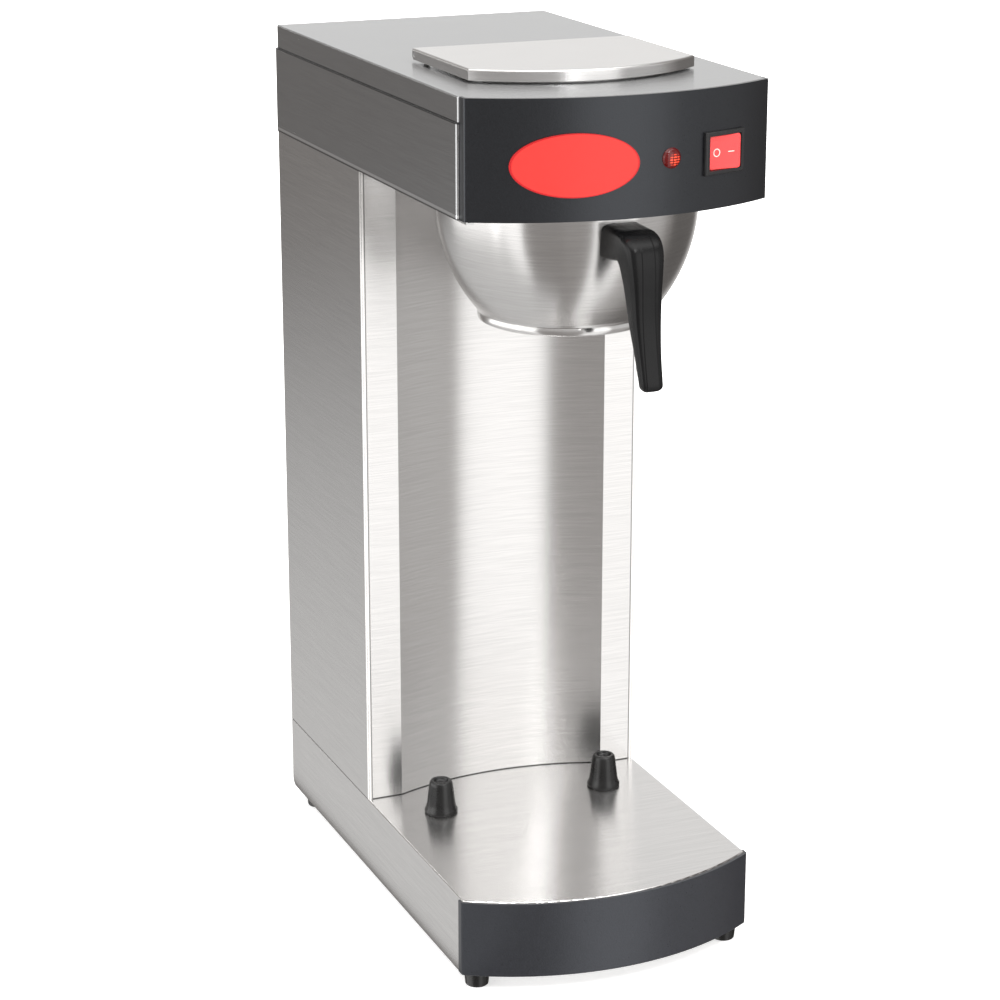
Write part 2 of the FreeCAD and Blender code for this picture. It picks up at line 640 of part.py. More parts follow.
def funnel_rail():
    """Channel under the head that carries one side of the funnel's rim, right-hand side."""
    web = box(RAIL_WEB, RAIL_WEB + 1.2, RAIL_FRONT, RAIL_BACK, RIM_Z - 1.7, HEAD_BOTTOM)
    lip = box(RAIL_WEB - 4.1, RAIL_WEB + 0.5, RAIL_FRONT, RAIL_BACK, RIM_Z - 1.7, RIM_Z - 0.5)
    foot = box(RAIL_WEB + 0.5, RAIL_WEB + 9, RAIL_FRONT, RAIL_BACK, HEAD_BOTTOM - 1.2, HEAD_BOTTOM)
    return web.fuse([lip, foot]).removeSplitter()


def rail_screws():
    """Screws up through the rails' feet into the head."""
    up = vec(0, 0, 1)
    return [pan_screw(vec(side * (RAIL_WEB + 5.2), y, HEAD_BOTTOM - 1.2), up, 2.4, 5.0)
            for y in (RAIL_FRONT + 16, RAIL_BACK - 16) for side in SIDES]


def funnel_stop():
    """Angle under the head that the funnel's rim meets when it is pushed home."""
    stop_y = FUNNEL_Y + RIM_R + GAP
    plate = box(-18, 18, stop_y, stop_y + 1.2, RIM_Z - 2, HEAD_BOTTOM)
    foot = box(-18, 18, stop_y, stop_y + 10, HEAD_BOTTOM - 1.2, HEAD_BOTTOM)
    return plate.fuse(foot).removeSplitter()


def bowl_radius(z, wall):
    """Outer radius of the bowl at a height, less a wall thickness measured square to it."""
    reach = BOWL_ARC - wall
    return BOWL_R - BOWL_ARC + math.sqrt(reach ** 2 - (z - BOWL_LEVEL) ** 2)


def bowl_arc(z0, z1, wall):
    points = [vec(bowl_radius(z, wall), 0, z) for z in (z0, (z0 + z1) / 2, z1)]
    return Part.Arc(points[0], points[1], points[2]).toShape()


def funnel():
    """Spun steel brew funnel: rim, rounded bowl, stepped ring below and a coned floor with an outlet."""
    top = RIM_Z + RIM_THICK
    low = STEP_TOP + 1.5
    outer_low = bowl_radius(low, 0)
    inner_low = bowl_radius(low, FUNNEL_WALL)
    ring_r = FUNNEL_FLOOR_R + 2.6
    outside = [vec(bowl_radius(RIM_Z, 0), 0, RIM_Z), vec(RIM_R, 0, RIM_Z), vec(RIM_R, 0, top),
               vec(bowl_radius(top, FUNNEL_WALL), 0, top)]
    floor = [(inner_low, low), (FUNNEL_FLOOR_R - 2.0, STEP_TOP), (6.0, FUNNEL_BOTTOM + 2.5),
             (4.0, FUNNEL_BOTTOM + 2.5), (4.0, FUNNEL_BOTTOM - 5.0), (5.4, FUNNEL_BOTTOM - 5.0),
             (5.4, FUNNEL_BOTTOM + 1.3), (FUNNEL_FLOOR_R - 1.4, FUNNEL_BOTTOM + 3.6),
             (FUNNEL_FLOOR_R - 1.4, FUNNEL_BOTTOM), (FUNNEL_FLOOR_R, FUNNEL_BOTTOM)]
    floor = [vec(r, 0, z) for r, z in floor]
    bead_low = vec(ring_r - 0.4, 0, FUNNEL_BOTTOM + 1.2)
    bead_mid = vec(ring_r, 0, FUNNEL_BOTTOM + 2.8)
    bead_high = vec(ring_r - 0.6, 0, STEP_TOP - 0.6)
    neck = vec(outer_low - 0.8, 0, STEP_TOP)
    edges = [bowl_arc(low, RIM_Z, 0)]
    edges += [Part.makeLine(a, b) for a, b in zip(outside, outside[1:])]
    edges.append(bowl_arc(top, low, FUNNEL_WALL))
    edges += [Part.makeLine(a, b) for a, b in zip(floor, floor[1:])]
    edges.append(Part.makeLine(floor[-1], bead_low))
    edges.append(Part.Arc(bead_low, bead_mid, bead_high).toShape())
    edges.append(Part.makeLine(bead_high, neck))
    edges.append(Part.makeLine(neck, vec(outer_low, 0, low)))
    shape = Part.Face(Part.Wire(edges)).revolve(vec(0, 0, 0), vec(0, 0, 1), 360)
    return shape.translated(vec(0, FUNNEL_Y, 0))


def funnel_envelope():
    """The bowl's outside as a full solid, to shape what is fastened against it."""
    low = STEP_TOP + 1.5
    top = RIM_Z
    edges = [bowl_arc(low, top, 0), Part.makeLine(vec(bowl_radius(top, 0), 0, top), vec(0, 0, top)),
             Part.makeLine(vec(0, 0, top), vec(0, 0, low)),
             Part.makeLine(vec(0, 0, low), vec(bowl_radius(low, 0), 0, low))]
    solid = Part.Face(Part.Wire(edges)).revolve(vec(0, 0, 0), vec(0, 0, 1), 360)
    return solid.translated(vec(0, FUNNEL_Y, 0))


def funnel_handle():
    """Moulded handle: an arm from the bowl that bends down into a tapered grip."""
    bend = [vec(-100, -9.0, HEAD_BOTTOM - 6.3), vec(-100, -36.0, HEAD_BOTTOM - 7.4),
            vec(-100, -47.5, HEAD_BOTTOM - 12.0), vec(-100, -52.3, HEAD_BOTTOM - 24.0)]
    front = [vec(-100, -52.6, HEAD_BOTTOM - 42.0), vec(-100, -53.8, HEAD_BOTTOM - 60.0),
             vec(-100, -57.0, HEAD_BOTTOM - 78.0), vec(-100, HANDLE_NOSE, HEAD_BOTTOM - 96.0)]
    tip = vec(-100, HANDLE_NOSE + HANDLE_TIP_R, HEAD_BOTTOM - 96.0 - HANDLE_TIP_R)
    back = [vec(-100, HANDLE_NOSE + 2 * HANDLE_TIP_R, HEAD_BOTTOM - 96.0),
            vec(-100, -47.2, HEAD_BOTTOM - 79.0),
            vec(-100, -41.2, HEAD_BOTTOM - 62.0), vec(-100, -37.4, HEAD_BOTTOM - 48.0),
            vec(-100, -35.0, HEAD_BOTTOM - 34.0)]
    under = [vec(-100, -32.0, HEAD_BOTTOM - 25.0), vec(-100, -10.0, HEAD_BOTTOM - 29.0)]
    inner = vec(-100, 10.0, HEAD_BOTTOM - 29.0)
    inner_top = vec(-100, 10.0, HEAD_BOTTOM - 6.3)
    edges = [Part.makeLine(inner_top, bend[0])]
    edges.append(smooth(bend + front))
    edges.append(Part.Arc(front[-1], tip, back[0]).toShape())
    edges.append(smooth(back))
    edges += [Part.makeLine(a, b) for a, b in zip([back[-1]] + under + [inner], under + [inner, inner_top])]
    side_view = Part.Face(Part.Wire(edges)).extrude(vec(200, 0, 0))
    handle = side_view.common(front_taper())
    return handle.cut(funnel_envelope())


def smooth(points):
    """A smooth curve through a few points."""
    curve = Part.BSplineCurve()
    curve.interpolate(points)
    return curve.toShape()


def front_taper():
    """Front view of the handle as a block: full width at the arm, narrowing to a round tip."""
    levels = [(13.0, -2.0), (13.0, -14.0), (10.6, -26.0), (9.5, -42.0), (8.5, -60.0), (7.2, -78.0),
              (6.6, -94.0)]
    right = [vec(x, -150, HEAD_BOTTOM + z) for x, z in levels]
    left = [vec(-x, -150, HEAD_BOTTOM + z) for x, z in reversed(levels)]
    tip = vec(0, -150, HEAD_BOTTOM - 101.6)
    edges = [Part.makeLine(left[-1], right[0]), Part.makeLine(right[0], right[1]), smooth(right[1:])]
    edges += [Part.Arc(right[-1], tip, left[0]).toShape(), smooth(left[:-1])]
    edges.append(Part.makeLine(left[-2], left[-1]))
    return Part.Face(Part.Wire(edges)).extrude(vec(0, 200, 0))


def handle_screws():
    """Two screws from inside the bowl into the handle."""
    screws = []
    for drop in (13.0, 22.0):
        z = HEAD_BOTTOM - drop
        y = FUNNEL_Y - bowl_radius(z, FUNNEL_WALL)
        screws.append(pan_screw(vec(0, y, z), vec(0, -1, 0), 3.2, 11.0))
    return screws


def filter_grid():
    """Wire insert that keeps the paper filter off the bowl: three rings, six ribs and a cross."""
    wire = 1.0
    levels = [(FUNNEL_BOTTOM + 9.5, 6.0), (FUNNEL_BOTTOM + 34.0, 4.0), (FUNNEL_BOTTOM + 62.0, 3.5)]
    rings = [(bowl_radius(z, FUNNEL_WALL) - inset, z) for z, inset in levels]
    bars = []
    for radius, z in rings:
        bars.append(Part.makeTorus(radius, wire, vec(0, FUNNEL_Y, z)))
    for turn in range(6):
        angle = math.radians(60 * turn + 30)
        points = [vec(r * math.cos(angle), FUNNEL_Y + r * math.sin(angle), z) for r, z in rings]
        bars += [rod(a, b, wire) for a, b in zip(points, points[1:])]
        bars.append(rod(points[0], vec(0, FUNNEL_Y, rings[0][1]), wire))
    bars.append(Part.makeSphere(2.2, vec(0, FUNNEL_Y, rings[0][1])))
    return bars[0].fuse(bars[1:])


# ---- spray head ----

def spray_head():
    """Perforated spray disc with its threaded neck through the head's floor."""
    low = HEAD_BOTTOM - 3.0
    disc = post(0, FUNNEL_Y, low, low + 2.4, SPRAY_R)
    disc = disc.cut(post(0, FUNNEL_Y, low + 0.8, low + 1.6, SPRAY_R - 2))
    neck = post(0, FUNNEL_Y, low + 1.6, HEAD_BOTTOM + 8, SPRAY_NECK_R - 0.1)
    shape = disc.fuse(neck).cut(post(0, FUNNEL_Y, low + 1.0, HEAD_BOTTOM + 9, SPRAY_NECK_R - 2.2))
    for count, radius in ((1, 0.0), (6, 9.0), (12, 18.0), (18, 26.0)):
        for k in range(count):
            angle = math.tau * k / count
            shape = shape.cut(post(radius * math.cos(angle), FUNNEL_Y + radius * math.sin(angle),
                                   low - 1, low + 1.2, 1.0))
    return shape


def spray_nut():
    nut = hexagon(17.0, 3.5, SPRAY_NECK_R - 0.1)
    return nut.translated(vec(0, FUNNEL_Y, HEAD_BOTTOM + SHEET))


def spray_elbow():
    """Elbow on the neck that turns the hot-water hose down into the spray head."""
    low = HEAD_BOTTOM + 8
    body = post(0, FUNNEL_Y, low, low + 12, 7.5)
    arm = rod(vec(0, FUNNEL_Y, OUTLET_Z), vec(0, FUNNEL_Y + 18, OUTLET_Z), HOSE_BORE)
    water = post(0, FUNNEL_Y, low - 1, OUTLET_Z, 2.4)
    way = rod(vec(0, FUNNEL_Y, OUTLET_Z), vec(0, FUNNEL_Y + 19, OUTLET_Z), 2.2)
    return body.fuse(arm).cut([water, way])


# ---- water tank ----

FILL_X = 30.0
FILL_Z = BASIN_FLOOR + 7.0
FILL_Y = 240.0
OUTLET_X = -30.0
OUTLET_Y = 225.0
OUTLET_Z = HEAD_BOTTOM + 14.0
LID_PLATE = TANK_TOP + 2.0
TANK_LIP = 4.5


def tank():
    """Folded steel hot-water tank with a flange round its open top."""
    outer = box(-TANK_SIDE, TANK_SIDE, TANK_FRONT, TANK_BACK, TANK_BOTTOM, TANK_TOP)
    outer = rounded(outer, 14.0, upright)
    inner = box(-TANK_SIDE + TANK_WALL, TANK_SIDE - TANK_WALL, TANK_FRONT + TANK_WALL, TANK_BACK - TANK_WALL,
                TANK_BOTTOM + TANK_WALL, TANK_TOP + 1)
    inner = rounded(inner, 12.8, upright)
    flange = tank_sheet(TANK_TOP - 1.5, TANK_TOP)
    return outer.fuse(flange).cut(inner)


def tank_sheet(z0, z1):
    """A plate over the tank's whole flange."""
    reach = TANK_SIDE + TANK_LIP
    sheet = box(-reach, reach, TANK_FRONT - TANK_LIP, TANK_BACK + TANK_LIP, z0, z1)
    return rounded(sheet, 16.0, upright)


def tank_seal():
    """Silicone ring between the tank and its lid."""
    hole = box(-TANK_SIDE + 6, TANK_SIDE - 6, TANK_FRONT + 6, TANK_BACK - 6, TANK_TOP - 1, LID_PLATE + 1)
    return tank_sheet(TANK_TOP, LID_PLATE).cut(rounded(hole, 10.0, upright))


def tank_lid():
    """Lid of the tank with spigots for the two hoses and holes for the element and the probe."""
    plate = tank_sheet(LID_PLATE, LID_PLATE + 2)
    for x, y in ((FILL_X, FILL_Y), (OUTLET_X, OUTLET_Y)):
        plate = plate.fuse(post(x, y, LID_PLATE + 1, LID_PLATE + 14, HOSE_BORE))
        plate = plate.cut(post(x, y, LID_PLATE - 1, LID_PLATE + 15, HOSE_BORE - 0.8))
    for side in SIDES:
        plate = plate.cut(post(side * ELEMENT_BEND, ELEMENT_Y, TANK_TOP, LID_PLATE + 5, ELEMENT_R + 0.1))
    return plate.cut(post(PROBE_X, PROBE_Y, TANK_TOP, LID_PLATE + 5, PROBE_R + 0.1))


def tank_screws():
    """Screws round the tank's flange."""
    down = vec(0, 0, -1)
    places = [(side * (TANK_SIDE + 1), y) for y in (225.0, 275.0) for side in SIDES]
    places += [(x, y) for x in (-35.0, 35.0) for y in (TANK_FRONT - 1, TANK_BACK + 1)]
    return [pan_screw(vec(x, y, LID_PLATE + 2), down, 2.4, 8.0) for x, y in places]


def tank_stand():
    """Bent sheet under the tank, standing on the base."""
    half, front, back = 68.0, TANK_FRONT + 4, TANK_BACK - 4
    outer = box(-half, half, front, back, BASE_TOP, TANK_BOTTOM)
    inner = box(-half + 1.5, half - 1.5, front - 1, back + 1, BASE_TOP - 1, TANK_BOTTOM - 1.5)
    feet_out = box(-half - 14, half + 14, front, back, BASE_TOP, BASE_TOP + 1.5)
    feet_out = feet_out.cut(box(-half + 1, half - 1, front - 1, back + 1, 0, TANK_BOTTOM))
    return outer.cut(inner).fuse(feet_out).removeSplitter()


ELEMENT_Y = 265.0
ELEMENT_BEND = 20.0
ELEMENT_R = 3.2
PROBE_X = -50.0
PROBE_Y = 262.0
PROBE_R = 3.0


def heating_element():
    """Sheathed heater bent into a long U inside the tank, its cold ends through the lid."""
    low = TANK_BOTTOM + 45
    high = LID_PLATE + 12
    left, right = vec(-ELEMENT_BEND, ELEMENT_Y, high), vec(ELEMENT_BEND, ELEMENT_Y, high)
    left_low, right_low = vec(-ELEMENT_BEND, ELEMENT_Y, low), vec(ELEMENT_BEND, ELEMENT_Y, low)
    path = Part.Wire([Part.LineSegment(left, left_low).toShape(),
                      Part.Arc(left_low, vec(0, ELEMENT_Y, low - ELEMENT_BEND), right_low).toShape(),
                      Part.LineSegment(right_low, right).toShape()])
    ring = Part.Wire(Part.makeCircle(ELEMENT_R, left, vec(0, 0, -1)))
    bar = path.makePipeShell([ring], True, False)
    pins = [post(side * ELEMENT_BEND, ELEMENT_Y, high - 1, high + 9, 1.6) for side in SIDES]
    return bar.fuse(pins)


def thermostat():
    """Control thermostat on the tank's lid, with its probe hanging in the water."""
    probe = post(PROBE_X, PROBE_Y, TANK_TOP - 120, LID_PLATE + 6, PROBE_R)
    case = box(PROBE_X - 13, PROBE_X + 13, PROBE_Y - 16, PROBE_Y + 16, LID_PLATE + 4, LID_PLATE + 30)
    tabs = []
    for y in (PROBE_Y - 8, PROBE_Y + 8):
        tabs.append(box(PROBE_X - 3, PROBE_X + 3, y - 0.4, y + 0.4, LID_PLATE + 29, LID_PLATE + 38))
    return rounded(case, 2.0, upright).fuse([probe] + tabs)


def thermal_cutout():
    """Disc cut-out clipped to the side of the tank, set above boiling."""
    side = TANK_SIDE
    disc = rod(vec(side, 250, 330), vec(side + 7, 250, 330), 8.0)
    ears = box(side, side + 0.8, 250 - 13, 250 + 13, 326, 334)
    tabs = [box(side + 6.5, side + 13, 250 + dy - 2, 250 + dy + 2, 329.6, 330.4) for dy in (-4.5, 4.5)]
    return disc.fuse([ears] + tabs)


def fill_hose():
    """Cold-water hose from the basin down into the tank."""
    points = [vec(FILL_X, BASIN_BACK + 0.5, FILL_Z), vec(FILL_X, 190.0, FILL_Z),
              vec(FILL_X, FILL_Y, FILL_Z - 18),
              vec(FILL_X, FILL_Y, LID_PLATE + 2)]
    return tube(points, HOSE_R, 12.0, HOSE_BORE)


def outlet_hose():
    """Hot-water hose from the tank forward to the elbow over the spray head."""
    points = [vec(OUTLET_X, OUTLET_Y, LID_PLATE + 2), vec(OUTLET_X, OUTLET_Y, OUTLET_Z),
              vec(0, FUNNEL_Y + 60, OUTLET_Z), vec(0, FUNNEL_Y + 8, OUTLET_Z)]
    return tube(points, HOSE_R, 12.0, HOSE_BORE)


def hose_clips():
    """Spring clips on the four hose ends."""
    rings = [Part.makeCylinder(HOSE_R + 1.2, 5, vec(x, y, LID_PLATE + 6)).cut(
             Part.makeCylinder(HOSE_R, 5, vec(x, y, LID_PLATE + 6)))
             for x, y in ((FILL_X, FILL_Y), (OUTLET_X, OUTLET_Y))]
    for x, y, z in ((FILL_X, BASIN_BACK + 4, FILL_Z), (0, FUNNEL_Y + 11, OUTLET_Z)):
        outer = Part.makeCylinder(HOSE_R + 1.2, 5, vec(x, y, z), vec(0, 1, 0))
        rings.append(outer.cut(Part.makeCylinder(HOSE_R, 5, vec(x, y, z), vec(0, 1, 0))))
    return rings


# ---- wiring ----

BLOCK_X = 24.0
BLOCK_Y = 318.0
BLOCK_TOP = BASE_TOP + 18.0
TRUNK_X = 91.0


def terminal_block():
    """Three-way terminal block on the base inside the column."""
    block = box(-BLOCK_X, BLOCK_X, BLOCK_Y - 9, BLOCK_Y + 9, BASE_TOP, BLOCK_TOP)
    for x in (-15, 0, 15):
        block = block.cut(post(x, BLOCK_Y - 4.5, BLOCK_TOP - 8, BLOCK_TOP + 1, 2.4))
    for x in (-7.5, 7.5):
        block = block.cut(box(x - 0.8, x + 0.8, BLOCK_Y - 12, BLOCK_Y + 12, BLOCK_TOP - 5, BLOCK_TOP + 1))
    return block


def lead_live():
    """Live lead: up the right of the column and forward through the head to the switch."""
    points = [vec(15, BLOCK_Y + 4, BLOCK_TOP), vec(15, BLOCK_Y + 4, 115), vec(50, 322, 150),
              vec(TRUNK_X, 322, 195), vec(TRUNK_X, 322, 410), vec(TRUNK_X - 13, 312, 460),
              vec(TRUNK_X - 13, 300, 505), vec(TRUNK_X - 5, 262, 530), vec(TRUNK_X - 3, 215, 534),
              vec(TRUNK_X - 5, 165, 530), vec(TRUNK_X - 5, 115, 528), vec(TRUNK_X - 7, 70, 531),
              vec(68, 34, 536), vec(60, 8, 536.5)]
    return tube(points, LEAD_R, 8.0)


def lead_heater():
    """Switched lead: from the switch back to the thermostat on the tank."""
    points = [vec(52, 4, 526.5), vec(66, 30, 522), vec(78, 70, 516), vec(82, 115, 512), vec(80, 160, 512),
              vec(74, 205, 511), vec(58, 245, 502), vec(25, 264, 489), vec(-12, 263, 481), vec(-42, 257, 483),
              vec(-50, 254, 470)]
    return tube(points, LEAD_R, 8.0)


def lead_neutral():
    """Neutral lead: from the block up the left of the column to the heater."""
    points = [vec(-15, BLOCK_Y + 4, BLOCK_TOP), vec(-15, BLOCK_Y + 4, 115), vec(-50, 320, 150),
              vec(-TRUNK_X, 318, 195), vec(-TRUNK_X, 314, 410), vec(-72, 300, 455), vec(-42, 280, 474),
              vec(-20, 265, 470), vec(-20, 265, 453)]
    return tube(points, LEAD_R, 5.0)


def lead_lamp():
    """Lead from the switch to the pilot lamp."""
    points = [vec(47, -1, 536), vec(40, 10, 539), vec(30, 10, 538), vec(23.5, -22, 532.1)]
    return tube(points, LEAD_R - 0.4, 3.0)


def earth_lead():
    """Earth lead from the block to a stud on the base."""
    points = [vec(0, BLOCK_Y + 4, BLOCK_TOP), vec(0, BLOCK_Y + 4, 94), vec(-8, 312, 101), vec(-22, 306, 98),
              vec(-38, 304, 84), vec(-44, 304, BASE_TOP + 6)]
    return tube(points, LEAD_R, 5.0)


def earth_stud():
    """Stud and nut on the base for the earth lead."""
    stud = post(-44, 304, BASE_TOP, BASE_TOP + 6, 2.0)
    return stud.fuse(hexagon(7.0, 3.2, 1.5).translated(vec(-44, 304, BASE_TOP + 0.5)))


def main():
    os.makedirs("parts", exist_ok=True)
    singles = [
        base_tray, base_plate, base_front_panel, column_back, column_front_panel, rear_panel, cord_gland,
        gland_nut, head_body, head_front_panel, top_cover, pour_basin, basin_strainer, lid, badge, lamp_lens,
        lamp_clip, switch_body, switch_rocker, funnel_stop, funnel, funnel_handle, filter_grid, spray_head,
        spray_nut, spray_elbow, tank, tank_seal, tank_lid, tank_stand, heating_element, thermostat,
        thermal_cutout, fill_hose, outlet_hose, terminal_block, lead_live, lead_heater, lead_neutral,
        lead_lamp, earth_lead, earth_stud,
    ]
    for make in singles:
        export(make.__name__, make())
    groups = [feet, foot_screws, peg_screws, rear_panel_screws, cover_screws, lid_bumpers, rail_screws,
              handle_screws, tank_screws, hose_clips]
    for make in groups:
        export(make.__name__, Part.makeCompound(make()))
    export("column_side_left", column_side(-1))
    export("column_side_right", column_side(1))
    export("airpot_peg_left", airpot_peg(-1))
    export("airpot_peg_right", airpot_peg(1))
    rail_right, rail_left = both_sides(funnel_rail())
    export("funnel_rail_left", rail_left)
    export("funnel_rail_right", rail_right)
    export("hinge_brackets", Part.makeCompound(both_sides(hinge_bracket())))
    export("hinge_pins", Part.makeCompound(both_sides(hinge_pin())))


main()
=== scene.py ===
"""The looks of a commercial coffee brewer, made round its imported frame. Lengths are in metres."""

import math

import bmesh
import bpy
import numpy as np
from bpy.props import FloatProperty, FloatVectorProperty, IntProperty, PointerProperty
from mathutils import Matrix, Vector


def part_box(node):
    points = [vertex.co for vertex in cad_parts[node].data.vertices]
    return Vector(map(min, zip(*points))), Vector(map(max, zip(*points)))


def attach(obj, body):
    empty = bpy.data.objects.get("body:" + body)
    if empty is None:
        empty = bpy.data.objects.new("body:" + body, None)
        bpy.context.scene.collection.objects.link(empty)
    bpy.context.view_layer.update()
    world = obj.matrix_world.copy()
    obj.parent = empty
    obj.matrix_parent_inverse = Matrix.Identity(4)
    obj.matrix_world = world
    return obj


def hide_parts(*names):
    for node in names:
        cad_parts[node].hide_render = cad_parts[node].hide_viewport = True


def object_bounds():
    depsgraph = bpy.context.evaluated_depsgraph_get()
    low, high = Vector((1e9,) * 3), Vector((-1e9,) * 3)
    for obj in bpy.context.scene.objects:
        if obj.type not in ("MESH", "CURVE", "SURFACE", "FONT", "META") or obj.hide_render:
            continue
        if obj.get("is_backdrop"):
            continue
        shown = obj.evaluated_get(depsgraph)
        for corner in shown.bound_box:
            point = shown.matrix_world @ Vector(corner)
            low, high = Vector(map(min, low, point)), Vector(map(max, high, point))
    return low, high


bl_info = {
    "name": "Coffee Brewer Looks",
    "version": (1, 0, 0),
    "blender": (4, 5, 0),
    "location": "3D View > Sidebar > Brewer",
    "description": "Finishes and detailed pieces for a pour-over airpot brewer",
    "category": "Object",
}

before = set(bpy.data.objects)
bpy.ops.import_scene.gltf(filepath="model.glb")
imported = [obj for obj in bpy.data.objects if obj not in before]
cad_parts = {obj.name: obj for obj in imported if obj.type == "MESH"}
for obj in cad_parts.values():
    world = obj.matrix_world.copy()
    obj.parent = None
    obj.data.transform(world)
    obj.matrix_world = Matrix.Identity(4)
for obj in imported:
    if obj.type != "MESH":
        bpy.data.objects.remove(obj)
CAD_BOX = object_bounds()
CAD_MIDDLE = (CAD_BOX[0] + CAD_BOX[1]) / 2
MM = 0.001

COLUMN_SHEETS = ("column_side_left", "column_side_right", "column_back", "column_front_panel")
HEAD_SHEETS = ("head_body", "top_cover")
OTHER_SHEETS = ("lid", "rear_panel")


# ---------------------------------------------------------------- sizes and colours


def length(name, description, default):
    """A length that the user can change in the sidebar."""
    return FloatProperty(name=name, description=description, default=default, unit="LENGTH", precision=4)


def tint(name, description, default):
    """A colour that the user can change in the sidebar."""
    return FloatVectorProperty(
        name=name, description=description, default=default, size=3, subtype="COLOR", min=0.0, max=1.0
    )


class BrewerSizes(bpy.types.PropertyGroup):
    """Shapes of the pieces that are made here."""

    panel_bow: length("Panel bow", "Radius of the control panel's curved front", 0.195)
    bowl_arc: length("Bowl arc", "Radius of the funnel's side, seen in section", 0.1092)
    bowl_offset: length("Bowl offset", "How far the arc's centre lies past the funnel's axis", 0.0267)
    bowl_drop: length("Bowl drop", "The arc's centre below the top of the funnel's rim", 0.0006)
    case_edge: length("Case edge", "Rounding on the edges of the switch's case", 0.00035)
    rocker_edge: length("Rocker edge", "Rounding round the rocker's face", 0.00119)
    lens_rise: length("Lens rise", "How far the lamp's dome stands out of its rim", 0.0028)
    rocker_dish: length("Rocker dish", "How far the middle of the rocker's face is sunk", 0.0004)
    handle_band: length("Handle band", "Half the width of the raised band down the handle", 0.0046)
    mark_size: length("Mark size", "Radius of the ring mark on the rocker", 0.0022)
    mark_line: length("Mark line", "Half the width of the lines of both marks", 0.00028)
    turns: IntProperty(name="Turns", description="Divisions round a turned piece", default=64, min=12)


class BrewerColours(bpy.types.PropertyGroup):
    """Colours of the finishes."""

    steel: tint("Steel", "Brushed stainless sheet", (0.71, 0.702, 0.695))
    # The head's steel is the same brushed stainless, painted darker and cooler as shade.
    head: tint("Head steel", "Brushed stainless sheet of the head", (0.470, 0.476, 0.482))
    spun: tint("Spun steel", "The funnel's steel", (0.69, 0.682, 0.675))
    panel: tint("Panel", "Textured coating of the dark panels", (0.0085, 0.0088, 0.0108))
    moulding: tint("Moulding", "Black moulded handle and switch frame", (0.0045, 0.0045, 0.0048))
    rubber: tint("Rubber", "Pegs, feet and stops", (0.004, 0.004, 0.004))
    badge: tint("Badge", "Enamel of the oval badge", (0.70, 0.030, 0.024))
    rocker: tint("Rocker", "The switch's rocker", (0.80, 0.045, 0.045))
    lens: tint("Lens", "The pilot lamp's lens", (0.07, 0.001, 0.001))


class BrewerStudio(bpy.types.PropertyGroup):
    """The camera and the light."""

    azimuth: FloatProperty(
        name="Azimuth", description="Turn of the camera round the brewer, from straight in front",
        default=math.radians(-22.45), subtype="ANGLE",
    )
    elevation: FloatProperty(
        name="Elevation", description="Height of the camera above the horizon",
        default=math.radians(17.14), subtype="ANGLE",
    )
    distance: length("Distance", "From the camera to the point it looks at", 1.8347)
    aim_across: length("Aim across", "Aim point to the right of the brewer's middle", -0.0319)
    aim_back: length("Aim back", "Aim point behind the brewer's middle", -0.0428)
    lens: FloatProperty(
        name="Lens", description="Focal length of the camera", default=101.8, min=10.0, unit="CAMERA"
    )
    floor_glow: FloatProperty(
        name="Floor glow", description="Light given off by the floor near the brewer", default=0.55, min=0.0
    )
    floor_fade: FloatProperty(
        name="Floor fade", description="Light that the floor gains far from the brewer", default=0.45, min=0.0
    )


def sizes():
    return bpy.context.scene.brewer_sizes


def colours():
    return bpy.context.scene.brewer_colours


# ---------------------------------------------------------------- shader arithmetic


def connect(tree, place, value):
    """Gives an input socket a link or a plain value."""
    if isinstance(value, Wire):
        tree.links.new(value.socket, place)
    else:
        place.default_value = value


def arithmetic(tree, operation, *values):
    """One Math node on links or numbers."""
    node = tree.nodes.new("ShaderNodeMath")
    node.operation = operation
    for place, value in zip(node.inputs, values):
        connect(tree, place, value)
    return Wire(tree, node.outputs[0])


class Wire:
    """A shader socket that is used in ordinary arithmetic."""

    def __init__(self, tree, socket):
        self.tree = tree
        self.socket = socket

    def __add__(self, other):
        return arithmetic(self.tree, "ADD", self, other)

    __radd__ = __add__

    def __sub__(self, other):
        return arithmetic(self.tree, "SUBTRACT", self, other)

    def __rsub__(self, other):
        return arithmetic(self.tree, "SUBTRACT", other, self)

    def __mul__(self, other):
        return arithmetic(self.tree, "MULTIPLY", self, other)

    __rmul__ = __mul__

    def __truediv__(self, other):
        return arithmetic(self.tree, "DIVIDE", self, other)

    def __pow__(self, other):
        return arithmetic(self.tree, "POWER", self, other)

    def __abs__(self):
        return arithmetic(self.tree, "ABSOLUTE", self)


